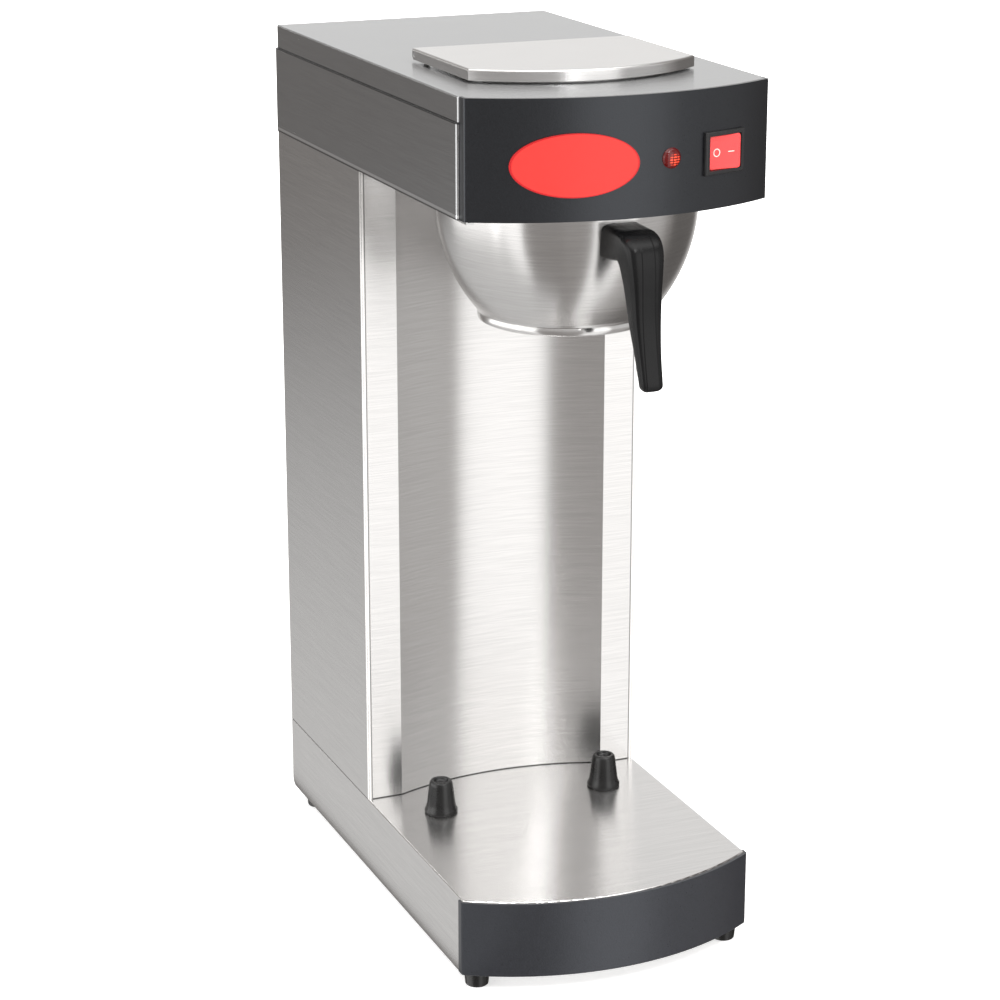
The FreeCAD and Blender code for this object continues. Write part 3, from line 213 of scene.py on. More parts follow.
class Bench:
    """A node tree, and the one way in which nodes are added to it."""

    def __init__(self, tree):
        self.tree = tree

    def node(self, kind, settings=None, output=0, **sockets):
        """Adds a node of a type, with its settings first and then its sockets; gives one output."""
        made = self.tree.nodes.new("ShaderNode" + kind)
        for name, value in (settings or {}).items():
            setattr(made, name, value)
        for name, value in sockets.items():
            connect(self.tree, made.inputs[name.replace("_", " ")], value)
        return Wire(self.tree, made.outputs[output])

    def place(self):
        """The point on the piece, in the frame's own metres."""
        return self.node("TexCoord", output="Object")

    def axes(self, vector):
        """The three numbers of a vector."""
        made = self.tree.nodes.new("ShaderNodeSeparateXYZ")
        connect(self.tree, made.inputs[0], vector)
        return [Wire(self.tree, socket) for socket in made.outputs]

    def noise(self, scale, detail=2.0, roughness=0.5, stretch=None):
        """Smooth noise from 0 to 1; stretch is how fine it is along each axis."""
        where = self.place()
        if stretch:
            where = self.node("Mapping", Vector=where, Scale=stretch)
        return self.node("TexNoise", Vector=where, Scale=scale, Detail=detail, Roughness=roughness)

    def ease(self, value, low, high):
        """0 below low, 1 above high, and a smooth rise between."""
        settings = {"interpolation_type": "SMOOTHSTEP"}
        return self.node("MapRange", settings, Value=value, From_Min=low, From_Max=high)

    def mix(self, factor, first, second):
        """Colour first where factor is 0 and second where it is 1."""
        made = self.tree.nodes.new("ShaderNodeMix")
        made.data_type = "RGBA"
        for place, value in zip((made.inputs[0], made.inputs[6], made.inputs[7]), (factor, first, second)):
            connect(self.tree, place, value)
        return Wire(self.tree, made.outputs[2])

    def bump(self, height, depth, strength=1.0):
        """Normals of a surface raised by height, where 1 stands depth metres out."""
        return self.node("Bump", Height=height, Distance=depth, Strength=strength)


class Finish(Bench):
    """A material being made, with its Principled shader."""

    def __init__(self, name):
        self.material = bpy.data.materials.new(name)
        self.material.use_nodes = True
        super().__init__(self.material.node_tree)
        self.shader = self.tree.nodes["Principled BSDF"]

    def set(self, **sockets):
        """Sets the shader's sockets by name and gives the material back."""
        for name, value in sockets.items():
            connect(self.tree, self.shader.inputs[name.replace("_", " ")], value)
        return self.material


def paint(colour, factor=1.0):
    """A colour with its alpha, made lighter or darker."""
    return tuple(part * factor for part in colour) + (1.0,)


# ---------------------------------------------------------------- finishes


# Brushing marks, in cycles a metre along x, y and z: on upright sheets, then on flat ones.
UPRIGHT_GRAIN = (26.0, 26.0, 1500.0)
FLAT_GRAIN = (26.0, 1500.0, 26.0)


def brushed(name, colour, spread, roughness, depth, seam_light_and_shade=None):
    """Brushed metal, whose highlight is drawn out across the grain by spread.

    The tangent runs along the grain and is turned a quarter. depth is that of the brushing marks. The last
    argument, where given, is a function that gives, from the three axes of a place, masks of painted shade
    along joints and painted highlights along folded edges, each with how light the metal is painted there.
    """
    made = Finish(name)
    level = made.axes(made.node("TexCoord", output="Normal"))[2]
    topside = made.ease(abs(level), 0.6, 0.8)
    on_sides = made.noise(1.0, 3.0, 0.6, stretch=UPRIGHT_GRAIN)
    on_tops = made.noise(1.0, 3.0, 0.6, stretch=FLAT_GRAIN)
    grain = made.axes(made.mix(topside, on_sides, on_tops))[0]
    smear = made.noise(7.0, 3.0, 0.55)
    face = made.mix(made.ease(grain, 0.30, 0.70), paint(colour, 0.94), paint(colour, 1.03))
    # Painted shade along joints and painted highlights along folds, laid over the grain.
    for mask, tone in seam_light_and_shade(made, *made.axes(made.place())) if seam_light_and_shade else ():
        face = made.mix(mask, face, paint(colour, tone))
    return made.set(
        Base_Color=face,
        Metallic=1.0,
        Roughness=roughness - 0.02 + grain * 0.03 + smear * 0.02,
        Anisotropic=spread,
        Anisotropic_Rotation=0.25,
        Tangent=made.node("CombineXYZ", X=1.0, Y=0.1, Z=0.0),
        Normal=made.bump(grain, depth, 0.6),
    )


def sheet_steel():
    return brushed("steel_sheet", colours().steel, spread=0.85, roughness=0.26, depth=0.005 * MM)


def head_seam_light_and_shade(made, x, y, z):
    """Painted shade in the head's joint under its cover and along its lower edge, and a painted highlight on
    the fold just above that.
    """
    low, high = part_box("head_body")
    upright = 1.0 - made.ease(abs(made.axes(made.node("TexCoord", output="Normal"))[2]), 0.3, 0.6)
    behind = made.ease(y, low.y + 6 * MM, low.y + 7 * MM)
    yield upright * behind * (1.0 - made.ease(abs(z - high.z), 0.4 * MM, 0.9 * MM)), 0.16
    yield upright * (1.0 - made.ease(abs(z - (low.z + 2.0 * MM)), 0.6 * MM, 1.1 * MM)), 1.8
    yield upright * (1.0 - made.ease(z, low.z + 0.3 * MM, low.z + 0.9 * MM)), 0.16


def head_steel():
    """The head's sheets get a darker, cooler copy of the column's steel: painted shade where the head's sides
    show darker.
    """
    steel = colours().head
    return brushed("steel_head_painted_shade", steel, spread=0.85, roughness=0.26, depth=0.002 * MM, seam_light_and_shade=head_seam_light_and_shade)


def tray_steel():
    """The base pan is smoother, so the column and the pegs show in it."""
    return brushed("steel_tray", colours().steel, spread=0.72, roughness=0.22, depth=0.003 * MM)


def column_seam_light_and_shade(made, x, y, z):
    """Painted shade along the column's joints with the base and the head, and painted highlights on the folds
    of its front sheet.

    A thin line of painted shade runs beside each fold.
    """
    low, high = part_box("column_front_panel")
    for end in (low.z, high.z):
        yield 1.0 - made.ease(abs(z - end), 0.4 * MM, 0.9 * MM), 0.12
    in_front = 1.0 - made.ease(y - low.y, 0.3 * MM, 0.6 * MM)
    yield in_front * made.ease(abs(x), high.x - 1.5 * MM, high.x - 1.1 * MM), 1.38
    yield in_front * (1.0 - made.ease(abs(abs(x) - (high.x - 1.9 * MM)), 0.3 * MM, 0.6 * MM)), 0.4


def column_steel():
    steel = colours().steel
    return brushed("steel_column", steel, spread=0.85, roughness=0.25, depth=0.002 * MM, seam_light_and_shade=column_seam_light_and_shade)


def spun_steel():
    """The tangent node's radial setting carries the grain round the funnel's own axis."""
    made = brushed("steel_spun", colours().spun, spread=0.85, roughness=0.24, depth=0.004 * MM)
    tree = made.node_tree
    round_axis = Bench(tree).node("Tangent", {"direction_type": "RADIAL", "axis": "Z"})
    connect(tree, tree.nodes["Principled BSDF"].inputs["Tangent"], round_axis)
    return made


def mill_steel():
    """Unbrushed sheet: cloudy, with faint rolling streaks."""
    made = Finish("steel_mill")
    cloud = made.noise(30.0, 4.0, 0.6)
    streak = made.noise(1.0, 2.0, 0.5, stretch=(60.0, 60.0, 700.0))
    return made.set(
        Base_Color=made.mix(cloud, paint((0.58, 0.58, 0.58)), paint((0.68, 0.68, 0.67))),
        Metallic=1.0,
        Roughness=0.26 + cloud * 0.16,
        Normal=made.bump(streak, 0.03 * MM, 0.5),
    )


def turned_metal(name, dark, light, roughness):
    """Small turned, drawn or plated metal, with a little wear from handling."""
    made = Finish(name)
    wear = made.noise(420.0, 3.0, 0.6)
    return made.set(
        Base_Color=made.mix(wear, paint(dark), paint(light)),
        Metallic=1.0,
        Roughness=roughness + wear * 0.12,
        Normal=made.bump(wear, 0.02 * MM, 0.5),
    )


def textured_coating(name, painted_lightness):
    """Satin black coating with a fine leathery texture. Its second argument gives lighter or darker copies of
    the one coating colour, as painted light and shade.
    """
    made = Finish(name)
    pebble = made.noise(1000.0, 3.0, 0.6)
    drift = made.noise(14.0, 2.0, 0.5)
    dark, light = paint(colours().panel, 0.2 * painted_lightness), paint(colours().panel, 2.2 * painted_lightness)
    return made.set(
        Base_Color=made.mix(pebble * 0.7 + drift * 0.3, dark, light),
        Roughness=0.21 + pebble * 0.22,
        Specular_IOR_Level=0.75,
        Specular_Tint=(0.88, 0.925, 1.0, 1.0),
        Normal=made.bump(pebble, 0.10 * MM, 0.55),
    )


def moulded(name, colour, roughness, gloss, texture, band=0.0):
    """Moulded black plastic: a fine spark texture and flow marks down its length.

    texture is its depth. band is half the width of a raised strip down the middle, where there is one.
    """
    made = Finish(name)
    spark = made.noise(2200.0, 2.0, 0.5)
    flow = made.noise(1.0, 3.0, 0.55, stretch=(420.0, 90.0, 24.0))
    across = abs(made.axes(made.place())[0])
    raised = 1.0 - made.ease(across, band * 0.8, band) if band else 0.0
    return made.set(
        Base_Color=made.mix(flow, paint(colour, 0.7), paint(colour, 1.5)),
        Roughness=roughness + flow * 0.10,
        Specular_IOR_Level=gloss,
        Normal=made.bump(spark * 0.5 + flow * 0.5 + raised * 8.0, texture, 0.5),
    )


def rubber():
    """Moulded rubber, slightly bloomed."""
    made = Finish("rubber_black")
    bloom = made.noise(90.0, 4.0, 0.6)
    grit = made.noise(1800.0, 2.0, 0.5)
    colour = colours().rubber
    return made.set(
        Base_Color=made.mix(made.ease(bloom, 0.35, 0.75), paint(colour), paint(colour, 2.0)),
        Roughness=0.20 + bloom * 0.16,
        Specular_IOR_Level=0.50,
        Normal=made.bump(grit, 0.06 * MM, 0.6),
    )


def from_middle(made, node):
    """How far a point lies across and up from the middle of a node's front, where 1 is its edge."""
    low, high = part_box(node)
    x, _, z = made.axes(made.place())
    across = (x - (low.x + high.x) / 2) / ((high.x - low.x) / 2)
    up = (z - (low.z + high.z) / 2) / ((high.z - low.z) / 2)
    return across, up


def enamel():
    """Glossy red badge. A darker line runs just inside its oval edge.

    The oval's own radius is sqrt((x/a)^2 + (z/b)^2), which is 1 on the edge.
    """
    made = Finish("enamel_red")
    across, up = from_middle(made, "badge")
    oval = (across * across + up * up) ** 0.5
    border = made.ease(oval, 0.955, 0.975)
    mottle = made.noise(120.0, 2.0, 0.5)
    colour = colours().badge
    face = made.mix(mottle, paint(colour, 0.96), paint(colour))
    return made.set(
        Base_Color=made.mix(border, face, paint((0.42, 0.008, 0.010))),
        Roughness=0.34 + mottle * 0.06,
        Specular_IOR_Level=0.3,
        Normal=made.bump(mottle, 0.01 * MM, 0.3),
    )


def lens_red():
    """Clear red lens with small square prisms behind it. Rows of bright dashes near one spot are painted
    highlights, in the base colour and as a glow; the rest of the lens has a faint painted glow of dark red.
    """
    made = Finish("lens_red")
    across, up = from_middle(made, "lamp_lens")
    cells = 4.0
    glint_across, glint_up = 0.2, -0.15
    rows = abs(arithmetic(made.tree, "SINE", up * (math.pi * cells)))
    columns = abs(arithmetic(made.tree, "SINE", across * (math.pi * cells * 0.6)))
    prism = made.ease(rows, 0.55, 0.85) * made.ease(columns, 0.25, 0.55)
    away = ((across - glint_across) ** 2.0 + (up - glint_up) ** 2.0) ** 0.5
    # Painted highlights: bright dashes on the prisms near one spot, in the colour and the glow.
    painted_glint = prism * (1.0 - made.ease(away, 0.3, 0.75))
    return made.set(
        Base_Color=made.mix(painted_glint, paint(colours().lens), paint((0.95, 0.07, 0.03))),
        Emission_Color=made.mix(painted_glint, paint((0.05, 0.0, 0.0)), paint((0.9, 0.10, 0.03))),
        Emission_Strength=0.35,
        Roughness=0.06 + prism * 0.05,
        Specular_IOR_Level=0.5,
        Normal=made.bump(prism, 0.10 * MM, 0.3),
    )


def rocker_red(ring, dash):
    """Glossy red plastic with two white printed marks: a ring on the off side and a dash on the on side."""
    made = Finish("rocker_red")
    x, _, z = made.axes(made.place())
    radius = sizes().mark_size
    line = sizes().mark_line
    soft = line * 0.3
    from_ring = ((x - ring[0]) ** 2.0 + (z - ring[1]) ** 2.0) ** 0.5
    ring_ink = 1.0 - made.ease(abs(from_ring - radius), line - soft, line + soft)
    along_dash = abs(x - dash[0])
    above_dash = abs(z - dash[1])
    dash_ink = 1.0 - made.ease(along_dash, radius - soft, radius + soft)
    dash_ink = dash_ink * (1.0 - made.ease(above_dash, line - soft, line + soft))
    ink = arithmetic(made.tree, "MAXIMUM", ring_ink, dash_ink)
    mottle = made.noise(150.0, 2.0, 0.5)
    colour = colours().rocker
    face = made.mix(mottle, paint(colour, 0.97), paint(colour))
    return made.set(
        Base_Color=made.mix(ink, face, paint((0.86, 0.62, 0.56))),
        Roughness=0.27 + mottle * 0.02,
        Coat_Weight=1.0,
        Coat_Roughness=0.16,
    )


def soft_plastic(name, dark, light, roughness=0.5):
    """Insulation, seals and small mouldings: cloudy colour and a waxy skin."""
    made = Finish(name)
    cloud = made.noise(240.0, 3.0, 0.55)
    return made.set(
        Base_Color=made.mix(cloud, paint(dark), paint(light)),
        Roughness=roughness + cloud * 0.15,
        Normal=made.bump(cloud, 0.04 * MM, 0.5),
    )


def shades(colour):
    """A darker and a lighter tone of one colour."""
    return tuple(part * 0.85 for part in colour), tuple(min(part * 1.12, 1.0) for part in colour)


def inside_finishes():
    """Finishes of the small and hidden parts, by the record's slot."""
    made = {
        "plain_steel": mill_steel(),
        "wire_steel": turned_metal("wire_bright", (0.66, 0.66, 0.67), (0.76, 0.76, 0.76), 0.16),
        "screw_steel": turned_metal("screw_zinc", (0.54, 0.55, 0.57), (0.68, 0.68, 0.68), 0.24),
        "brass": turned_metal("brass_turned", (0.62, 0.46, 0.22), (0.76, 0.60, 0.34), 0.26),
        "heater_sheath": turned_metal("heater_oxide", (0.30, 0.28, 0.28), (0.46, 0.43, 0.42), 0.38),
    }
    plastics = {
        "black_nylon": (0.02, 0.02, 0.021),
        "silicone": (0.78, 0.76, 0.70),
        "white_nylon": (0.78, 0.77, 0.73),
        "lead_brown": (0.16, 0.07, 0.03),
        "lead_orange": (0.70, 0.25, 0.03),
        "lead_blue": (0.04, 0.10, 0.45),
        "lead_green": (0.08, 0.35, 0.08),
    }
    for name, colour in plastics.items():
        made[name] = soft_plastic(name, *shades(colour))
    return made


def cover(nodes, material):
    """Gives a finish to CAD nodes."""
    for name in nodes:
        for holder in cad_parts[name].material_slots:
            holder.material = material


# ---------------------------------------------------------------- surfaces


def grid_faces(rows, columns):
    """Four corners of each cell of a grid of rings, where the last column joins the first."""
    row, column = np.meshgrid(np.arange(rows - 1), np.arange(columns), indexing="ij")
    here = row * columns + column
    beside = row * columns + (column + 1) % columns
    return np.stack([here, beside, beside + columns, here + columns], axis=-1).reshape(-1, 4)


def skin(name, rings, material, body):
    """A closed piece from rings of points, shaped (rings, points, 3).

    An end closes in a ring that is a single point, or is filled flat.
    """
    rows, columns, _ = rings.shape
    mesh = bpy.data.meshes.new(name)
    mesh.from_pydata(rings.reshape(-1, 3), [], grid_faces(rows, columns))
    solid = bmesh.new()
    solid.from_mesh(mesh)
    bmesh.ops.remove_doubles(solid, verts=solid.verts, dist=1e-6)
    open_edges = [edge for edge in solid.edges if edge.is_boundary]
    if open_edges:
        bmesh.ops.holes_fill(solid, edges=open_edges)
    bmesh.ops.recalc_face_normals(solid, faces=solid.faces)
    solid.to_mesh(mesh)
    solid.free()
    return finished(name, mesh, material, body)


def finished(name, mesh, material, body):
    """Puts a mesh in the scene, smooth, in its finish and on its body."""
    mesh.materials.clear()
    mesh.materials.append(material)
    mesh.polygons.foreach_set("use_smooth", np.ones(len(mesh.polygons), dtype=bool))
    piece = bpy.data.objects.new(name, mesh)
    bpy.context.scene.collection.objects.link(piece)
    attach(piece, body)
    return piece


def follow(points, spacing):
    """A smooth curve through points: Hermite cubics whose slopes are half the step between neighbours."""
    points = np.array(points, float)
    slopes = np.gradient(points, axis=0)
    where = np.linspace(0.0, len(points) - 1.0, (len(points) - 1) * spacing + 1)
    start = np.minimum(where.astype(int), len(points) - 2)
    t = (where - start)[:, None]
    near, far = points[start], points[start + 1]
    leave, arrive = slopes[start], slopes[start + 1]
    held = (2 * t**3 - 3 * t**2 + 1) * near + (t**3 - 2 * t**2 + t) * leave
    return held + (3 * t**2 - 2 * t**3) * far + (t**3 - t**2) * arrive


# Powers of the squared rings that the handle and the rocker are made of.
HANDLE_SQUARENESS = 5.0
ROCKER_SQUARENESS = 14.0


def squared_ring(count, power):
    """Points of the oval |x|^power + |y|^power = 1. A high power makes a square with rounded corners."""
    angle = np.linspace(0.0, 2 * math.pi, count, endpoint=False)
    cosine, sine = np.cos(angle), np.sin(angle)
    across = np.sign(cosine) * np.abs(cosine) ** (2 / power)
    along = np.sign(sine) * np.abs(sine) ** (2 / power)
    return across, along


def turned(profile, centre, count):
    """Rings of a turned piece: each (radius, height) of the profile is carried round an upright axis."""
    angle = np.linspace(0.0, 2 * math.pi, count, endpoint=False)
    x = centre.x + profile[:, :1] * np.cos(angle)
    y = centre.y + profile[:, :1] * np.sin(angle)
    z = centre.z + profile[:, 1:] * np.ones_like(angle)
    return np.stack([x, y, z], axis=-1)


def eased_copy(node, name):
    """A copy of a CAD node's mesh, with its loose triangles merged and joined where they lie flat."""
    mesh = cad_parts[node].data.copy()
    mesh.name = name
    solid = bmesh.new()
    solid.from_mesh(mesh)
    bmesh.ops.remove_doubles(solid, verts=solid.verts, dist=2e-6)
    bmesh.ops.dissolve_limit(solid, angle_limit=math.radians(1.0), verts=solid.verts, edges=solid.edges)
    solid.to_mesh(mesh)
    solid.free()
    return mesh


def round_edges(piece, width):
    """Rounds every edge that turns by more than 25 degrees."""
    bevel = piece.modifiers.new("rounded_edges", "BEVEL")
    bevel.width = width
    bevel.segments = 3
    bevel.limit_method = "ANGLE"
    bevel.angle_limit = math.radians(25.0)
    bevel.harden_normals = True


# ---------------------------------------------------------------- pieces


def panel_point(across, height):
    """A point on the control panel's bowed front, and the direction that the panel faces there."""
    low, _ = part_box("head_front_panel")
    bow = sizes().panel_bow
    centre = Vector((0.0, low.y + bow, height))
    turn = math.asin(across / bow)
    outward = Vector((math.sin(turn), -math.cos(turn), 0.0))
    return centre + outward * bow, outward


def panel_axes(node):
    """The middle of a node's place on the panel, the level direction beside it and the one out of it."""
    low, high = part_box(node)
    spot, outward = panel_point((low.x + high.x) / 2, (low.z + high.z) / 2)
    beside = Vector((-outward.y, outward.x, 0.0))
    return np.array(spot), np.array(beside), np.array(outward)


# Each station of the handle, in millimetres: the outer line, then the inner line, each as
# (behind the handle's foremost point, below its top), then half of the width there.
HANDLE_STATIONS = (
    (52.0, 0.0, 51.0, 22.7, 13.0),
    (34.0, 0.6, 33.5, 20.1, 13.0),
    (25.0, 1.1, 30.6, 19.3, 12.9),
    (16.8, 3.9, 28.8, 20.9, 12.6),
    (11.4, 9.3, 27.6, 23.9, 12.0),
    (9.3, 17.7, 26.6, 28.1, 11.3),
    (8.5, 27.7, 25.2, 34.2, 10.4),
    (8.2, 37.7, 23.4, 42.7, 9.6),
    (7.2, 53.7, 20.0, 55.7, 8.7),
    (4.2, 71.7, 14.0, 72.7, 7.5),
    (0.0, 89.7, 8.2, 89.7, 6.8),
)


def funnel_face(across, height):
    """The y of the funnel's front wall at a place across and up.

    The wall's radius at a height is sqrt(bowl_arc^2 - drop^2) - bowl_offset.
    """
    low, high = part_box("funnel")
    axis = (low.y + high.y) / 2
    reach = sizes().bowl_arc ** 2 - (height - (high.z - sizes().bowl_drop)) ** 2
    radius = np.sqrt(reach) - sizes().bowl_offset
    return axis - np.sqrt(radius**2 - across**2)


def handle_rings():
    """Rings of the handle: a rounded rectangle between the outer and inner lines, carried from root to tip.

    The root ring lies on the funnel's wall. Past the last station the rings close in as a half circle.
    """
    low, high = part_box("funnel_handle")
    stations = follow(HANDLE_STATIONS, 8) * MM
    outer = np.stack([low.y + stations[:, 0], high.z - stations[:, 1]], axis=-1)
    inner = np.stack([low.y + stations[:, 2], high.z - stations[:, 3]], axis=-1)
    half = stations[:, 4]
    middle, reach = (outer + inner) / 2, (outer - inner) / 2
    thick = np.linalg.norm(reach[-1])
    down = np.array([-reach[-1][1], reach[-1][0]]) / thick
    down = down if down[1] < 0 else -down
    turn = np.linspace(0.0, math.pi / 2, 9)[1:]
    middle = np.concatenate([middle, middle[-1] + np.sin(turn)[:, None] * thick * down])
    reach = np.concatenate([reach, np.cos(turn)[:, None] * reach[-1]])
    half = np.concatenate([half, half[-1] * (0.35 + 0.65 * np.cos(turn))])
    half[-1] = 0.0
    across, along = squared_ring(sizes().turns, HANDLE_SQUARENESS)
    x = half[:, None] * across
    yz = middle[:, None, :] + reach[:, None, :] * along[:, None]
    rings = np.concatenate([x[..., None], yz], axis=-1)
    rings[0, :, 1] = funnel_face(rings[0, :, 0], rings[0, :, 2])
    return rings


# A peg's section from the middle of its foot to the middle of its top: a flared foot, a tapered body, a
# rounded shoulder and a dimple. Each point is (share of the foot's radius, share of the height).
PEG_PROFILE = (
    (0.0, 0.0), (0.97, 0.0), (1.0, 0.03), (1.0, 0.10), (0.92, 0.17), (0.86, 0.30), (0.72, 0.86),
    (0.68, 0.95), (0.60, 1.0), (0.47, 1.0), (0.43, 0.97), (0.40, 0.90), (0.0, 0.89),
)


def make_peg(side, node, material):
    """A rubber peg, turned from its section to fit the box of a CAD node."""
    low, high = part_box(node)
    radius, height = (high.x - low.x) / 2, high.z - low.z
    profile = np.array(PEG_PROFILE) * (radius, height)
    foot = Vector(((low.x + high.x) / 2, (low.y + high.y) / 2, low.z))
    rings = turned(profile, foot, sizes().turns)
    peg = skin(f"rubber_peg_{side}", rings, material, "brewer")
    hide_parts(node)
    return peg


def lens_rings():
    """Rings of the lamp's lens: a low rim and a dome, as a part turned about the panel's facing direction.

    A dome point at angle a from the axis stands rise times cos(a) out and radius times sin(a) across. The
    dome springs from inside the rim, and its foot is as far out as dome_foot says.
    """
    rim_back, rim_front, dome_foot, dome_width = -0.3, 0.18, 0.24, 0.93
    low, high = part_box("lamp_lens")
    radius = (high.z - low.z) / 2
    spot, beside, outward = panel_axes("lamp_lens")
    fall = np.linspace(math.pi / 2, 0.0, 10)
    away = np.concatenate([[0.0, 1.0, 1.0], dome_width * np.sin(fall)]) * radius
    dome = dome_foot + (1.0 - dome_foot) * np.cos(fall)
    out = np.concatenate([[rim_back, rim_back, rim_front], dome]) * sizes().lens_rise
    angle = np.linspace(0.0, 2 * math.pi, sizes().turns, endpoint=False)
    rings = spot + out[:, None, None] * outward
    rings = rings + (away[:, None] * np.cos(angle))[..., None] * beside
    return rings + (away[:, None] * np.sin(angle))[..., None] * np.array((0.0, 0.0, 1.0))


# Where the ring and the dash stand across the rocker, as shares of its half width.
MARK_PLACES = (-0.44, 0.46)


def rocker_rings():
    """Rings of the rocker, and where its two marks go.

    The rings are squares with rounded corners. They rise from the back, turn over a rounded edge, and close
    in on the middle of the face. The face runs straight from its low side to its high side, and is dished
    by 1 - (across / half)^2.
    """
    spot, beside, outward = panel_axes("switch_body")
    corners = np.array([tuple(corner.co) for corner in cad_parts["switch_rocker"].data.vertices])
    across = (corners - spot) @ beside
    out = (corners - spot) @ outward
    middle, half = (across.max() + across.min()) / 2, np.ptp(across) / 2
    centre_z, half_z = (corners[:, 2].max() + corners[:, 2].min()) / 2, np.ptp(corners[:, 2]) / 2
    left, right = out[across < middle].max(), out[across > middle].max()
    back = out[abs(across - middle) > half * 0.95].min()

    edge = sizes().rocker_edge
    turn = np.linspace(0.0, math.pi / 2, 7)
    inward = edge + (half - edge) * np.linspace(0, 1, 9)[1:]
    inset = np.concatenate([[half, 0.0, 0.0], edge * (1 - np.cos(turn)), inward])
    sunk = np.concatenate([edge * (1 - np.sin(turn)), np.zeros(len(inward))])
    sideways, upward = squared_ring(sizes().turns * 2, ROCKER_SQUARENESS)
    u = np.maximum(half - inset, 0.0)[:, None] * sideways
    v = np.maximum(half_z - inset * half_z / half, 0.0)[:, None] * upward

    slope = left + (right - left) * (u + half) / (2 * half)
    past_edge = np.clip(inset / edge - 1.0, 0.0, 1.0)[:, None]
    face = slope - sizes().rocker_dish * (1 - (u / half) ** 2) * past_edge
    face[3:] -= sunk[:, None]
    face[:2] = back
    face[2] = slope[2] - edge
    rings = spot + (u + middle)[..., None] * beside + face[..., None] * outward
    rings[..., 2] = centre_z + v
    marks = [spot + beside * (middle + half * share) for share in MARK_PLACES]
    return rings, [(mark[0], centre_z) for mark in marks]


# ---------------------------------------------------------------- operators


class BREWER_OT_casing(bpy.types.Operator):
    """Finishes the sheet steel, the dark panels and the badge"""

    bl_idname = "brewer.casing"
    bl_label = "Finish Casing"

    def execute(self, context):
        cover(COLUMN_SHEETS, column_steel())
        cover(HEAD_SHEETS, head_steel())
        cover(("base_tray",), tray_steel())
        cover(OTHER_SHEETS, sheet_steel())
        # The panel and the apron share one coating colour; the apron's copy is painted over four times
        # lighter than the panel's.
        cover(("head_front_panel",), textured_coating("coating_panel", 0.34))
        cover(("base_front_panel",), textured_coating("coating_apron", 1.5))
        cover(("badge",), enamel())
        return {"FINISHED"}


class BREWER_OT_funnel(bpy.types.Operator):
    """Finishes the spun funnel and makes its moulded handle"""

    bl_idname = "brewer.funnel"
    bl_label = "Funnel and Handle"

    def execute(self, context):
        cover(("funnel",), spun_steel())
        black = moulded(
            "handle_black", colours().moulding, roughness=0.20, gloss=0.20, texture=0.06 * MM,
            band=sizes().handle_band,
        )
        handle = skin("moulded_handle", handle_rings(), black, "brew_funnel")
        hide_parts("funnel_handle")
        return {"FINISHED"}


class BREWER_OT_pegs(bpy.types.Operator):
    """Makes the two rubber pegs and finishes the feet"""

    bl_idname = "brewer.pegs"
    bl_label = "Pegs and Feet"

    def execute(self, context):
        black = rubber()
        for side in ("left", "right"):
            make_peg(side, f"airpot_peg_{side}", black)
        cover(("feet", "lid_bumpers", "cord_gland"), black)
        return {"FINISHED"}


class BREWER_OT_switch(bpy.types.Operator):
    """Makes the rocker switch and the pilot lamp"""

    bl_idname = "brewer.switch"
    bl_label = "Switch and Lamp"

    def execute(self, context):
        rings, (off_side, on_side) = rocker_rings()
        red = rocker_red(off_side, on_side)
        rocker = skin("rocker_moulding", rings, red, "rocker")
        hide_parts("switch_rocker")
        # The switch frame takes the handle's moulding colour painted three times lighter, as painted light.
        frame_colour_painted_lighter = [part * 3.0 for part in colours().moulding]
        black = moulded("switch_black", frame_colour_painted_lighter, roughness=0.28, gloss=0.4, texture=0.02 * MM)
        case = finished("switch_moulding", eased_copy("switch_body", "switch_moulding"), black, "brewer")
        round_edges(case, sizes().case_edge)
        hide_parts("switch_body")
        lens = skin("lamp_dome", lens_rings(), lens_red(), "brewer")
        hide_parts("lamp_lens")
        return {"FINISHED"}


class BREWER_OT_inside(bpy.types.Operator):
    """Finishes the fixings and everything inside, by the record's material slots"""

    bl_idname = "brewer.inside"
    bl_label = "Finish Inside"

    def execute(self, context):
        made = inside_finishes()
        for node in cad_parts.values():
            for holder in node.material_slots:
                if holder.material and holder.material.name in made:
                    holder.material = made[holder.material.name]
        return {"FINISHED"}


# Upright panels of the studio. Each has the azimuth of its middle, its half width and the softness of its
# edge, in degrees from straight in front and positive to the brewer's right, then the light that it adds.
STUDIO_PANELS = (
    (-76.0, 14.0, 5.0, 1.25),
    (-112.0, 27.0, 8.0, 1.35),
    (-14.0, 12.0, 6.0, 0.04),
    (19.0, 18.0, 5.0, 1.06),
    (56.0, 16.0, 14.0, 0.22),
    (107.0, 25.0, 12.0, -0.20),
    (158.0, 24.0, 16.0, 0.42),
    (-170.0, 20.0, 12.0, -0.16),
)


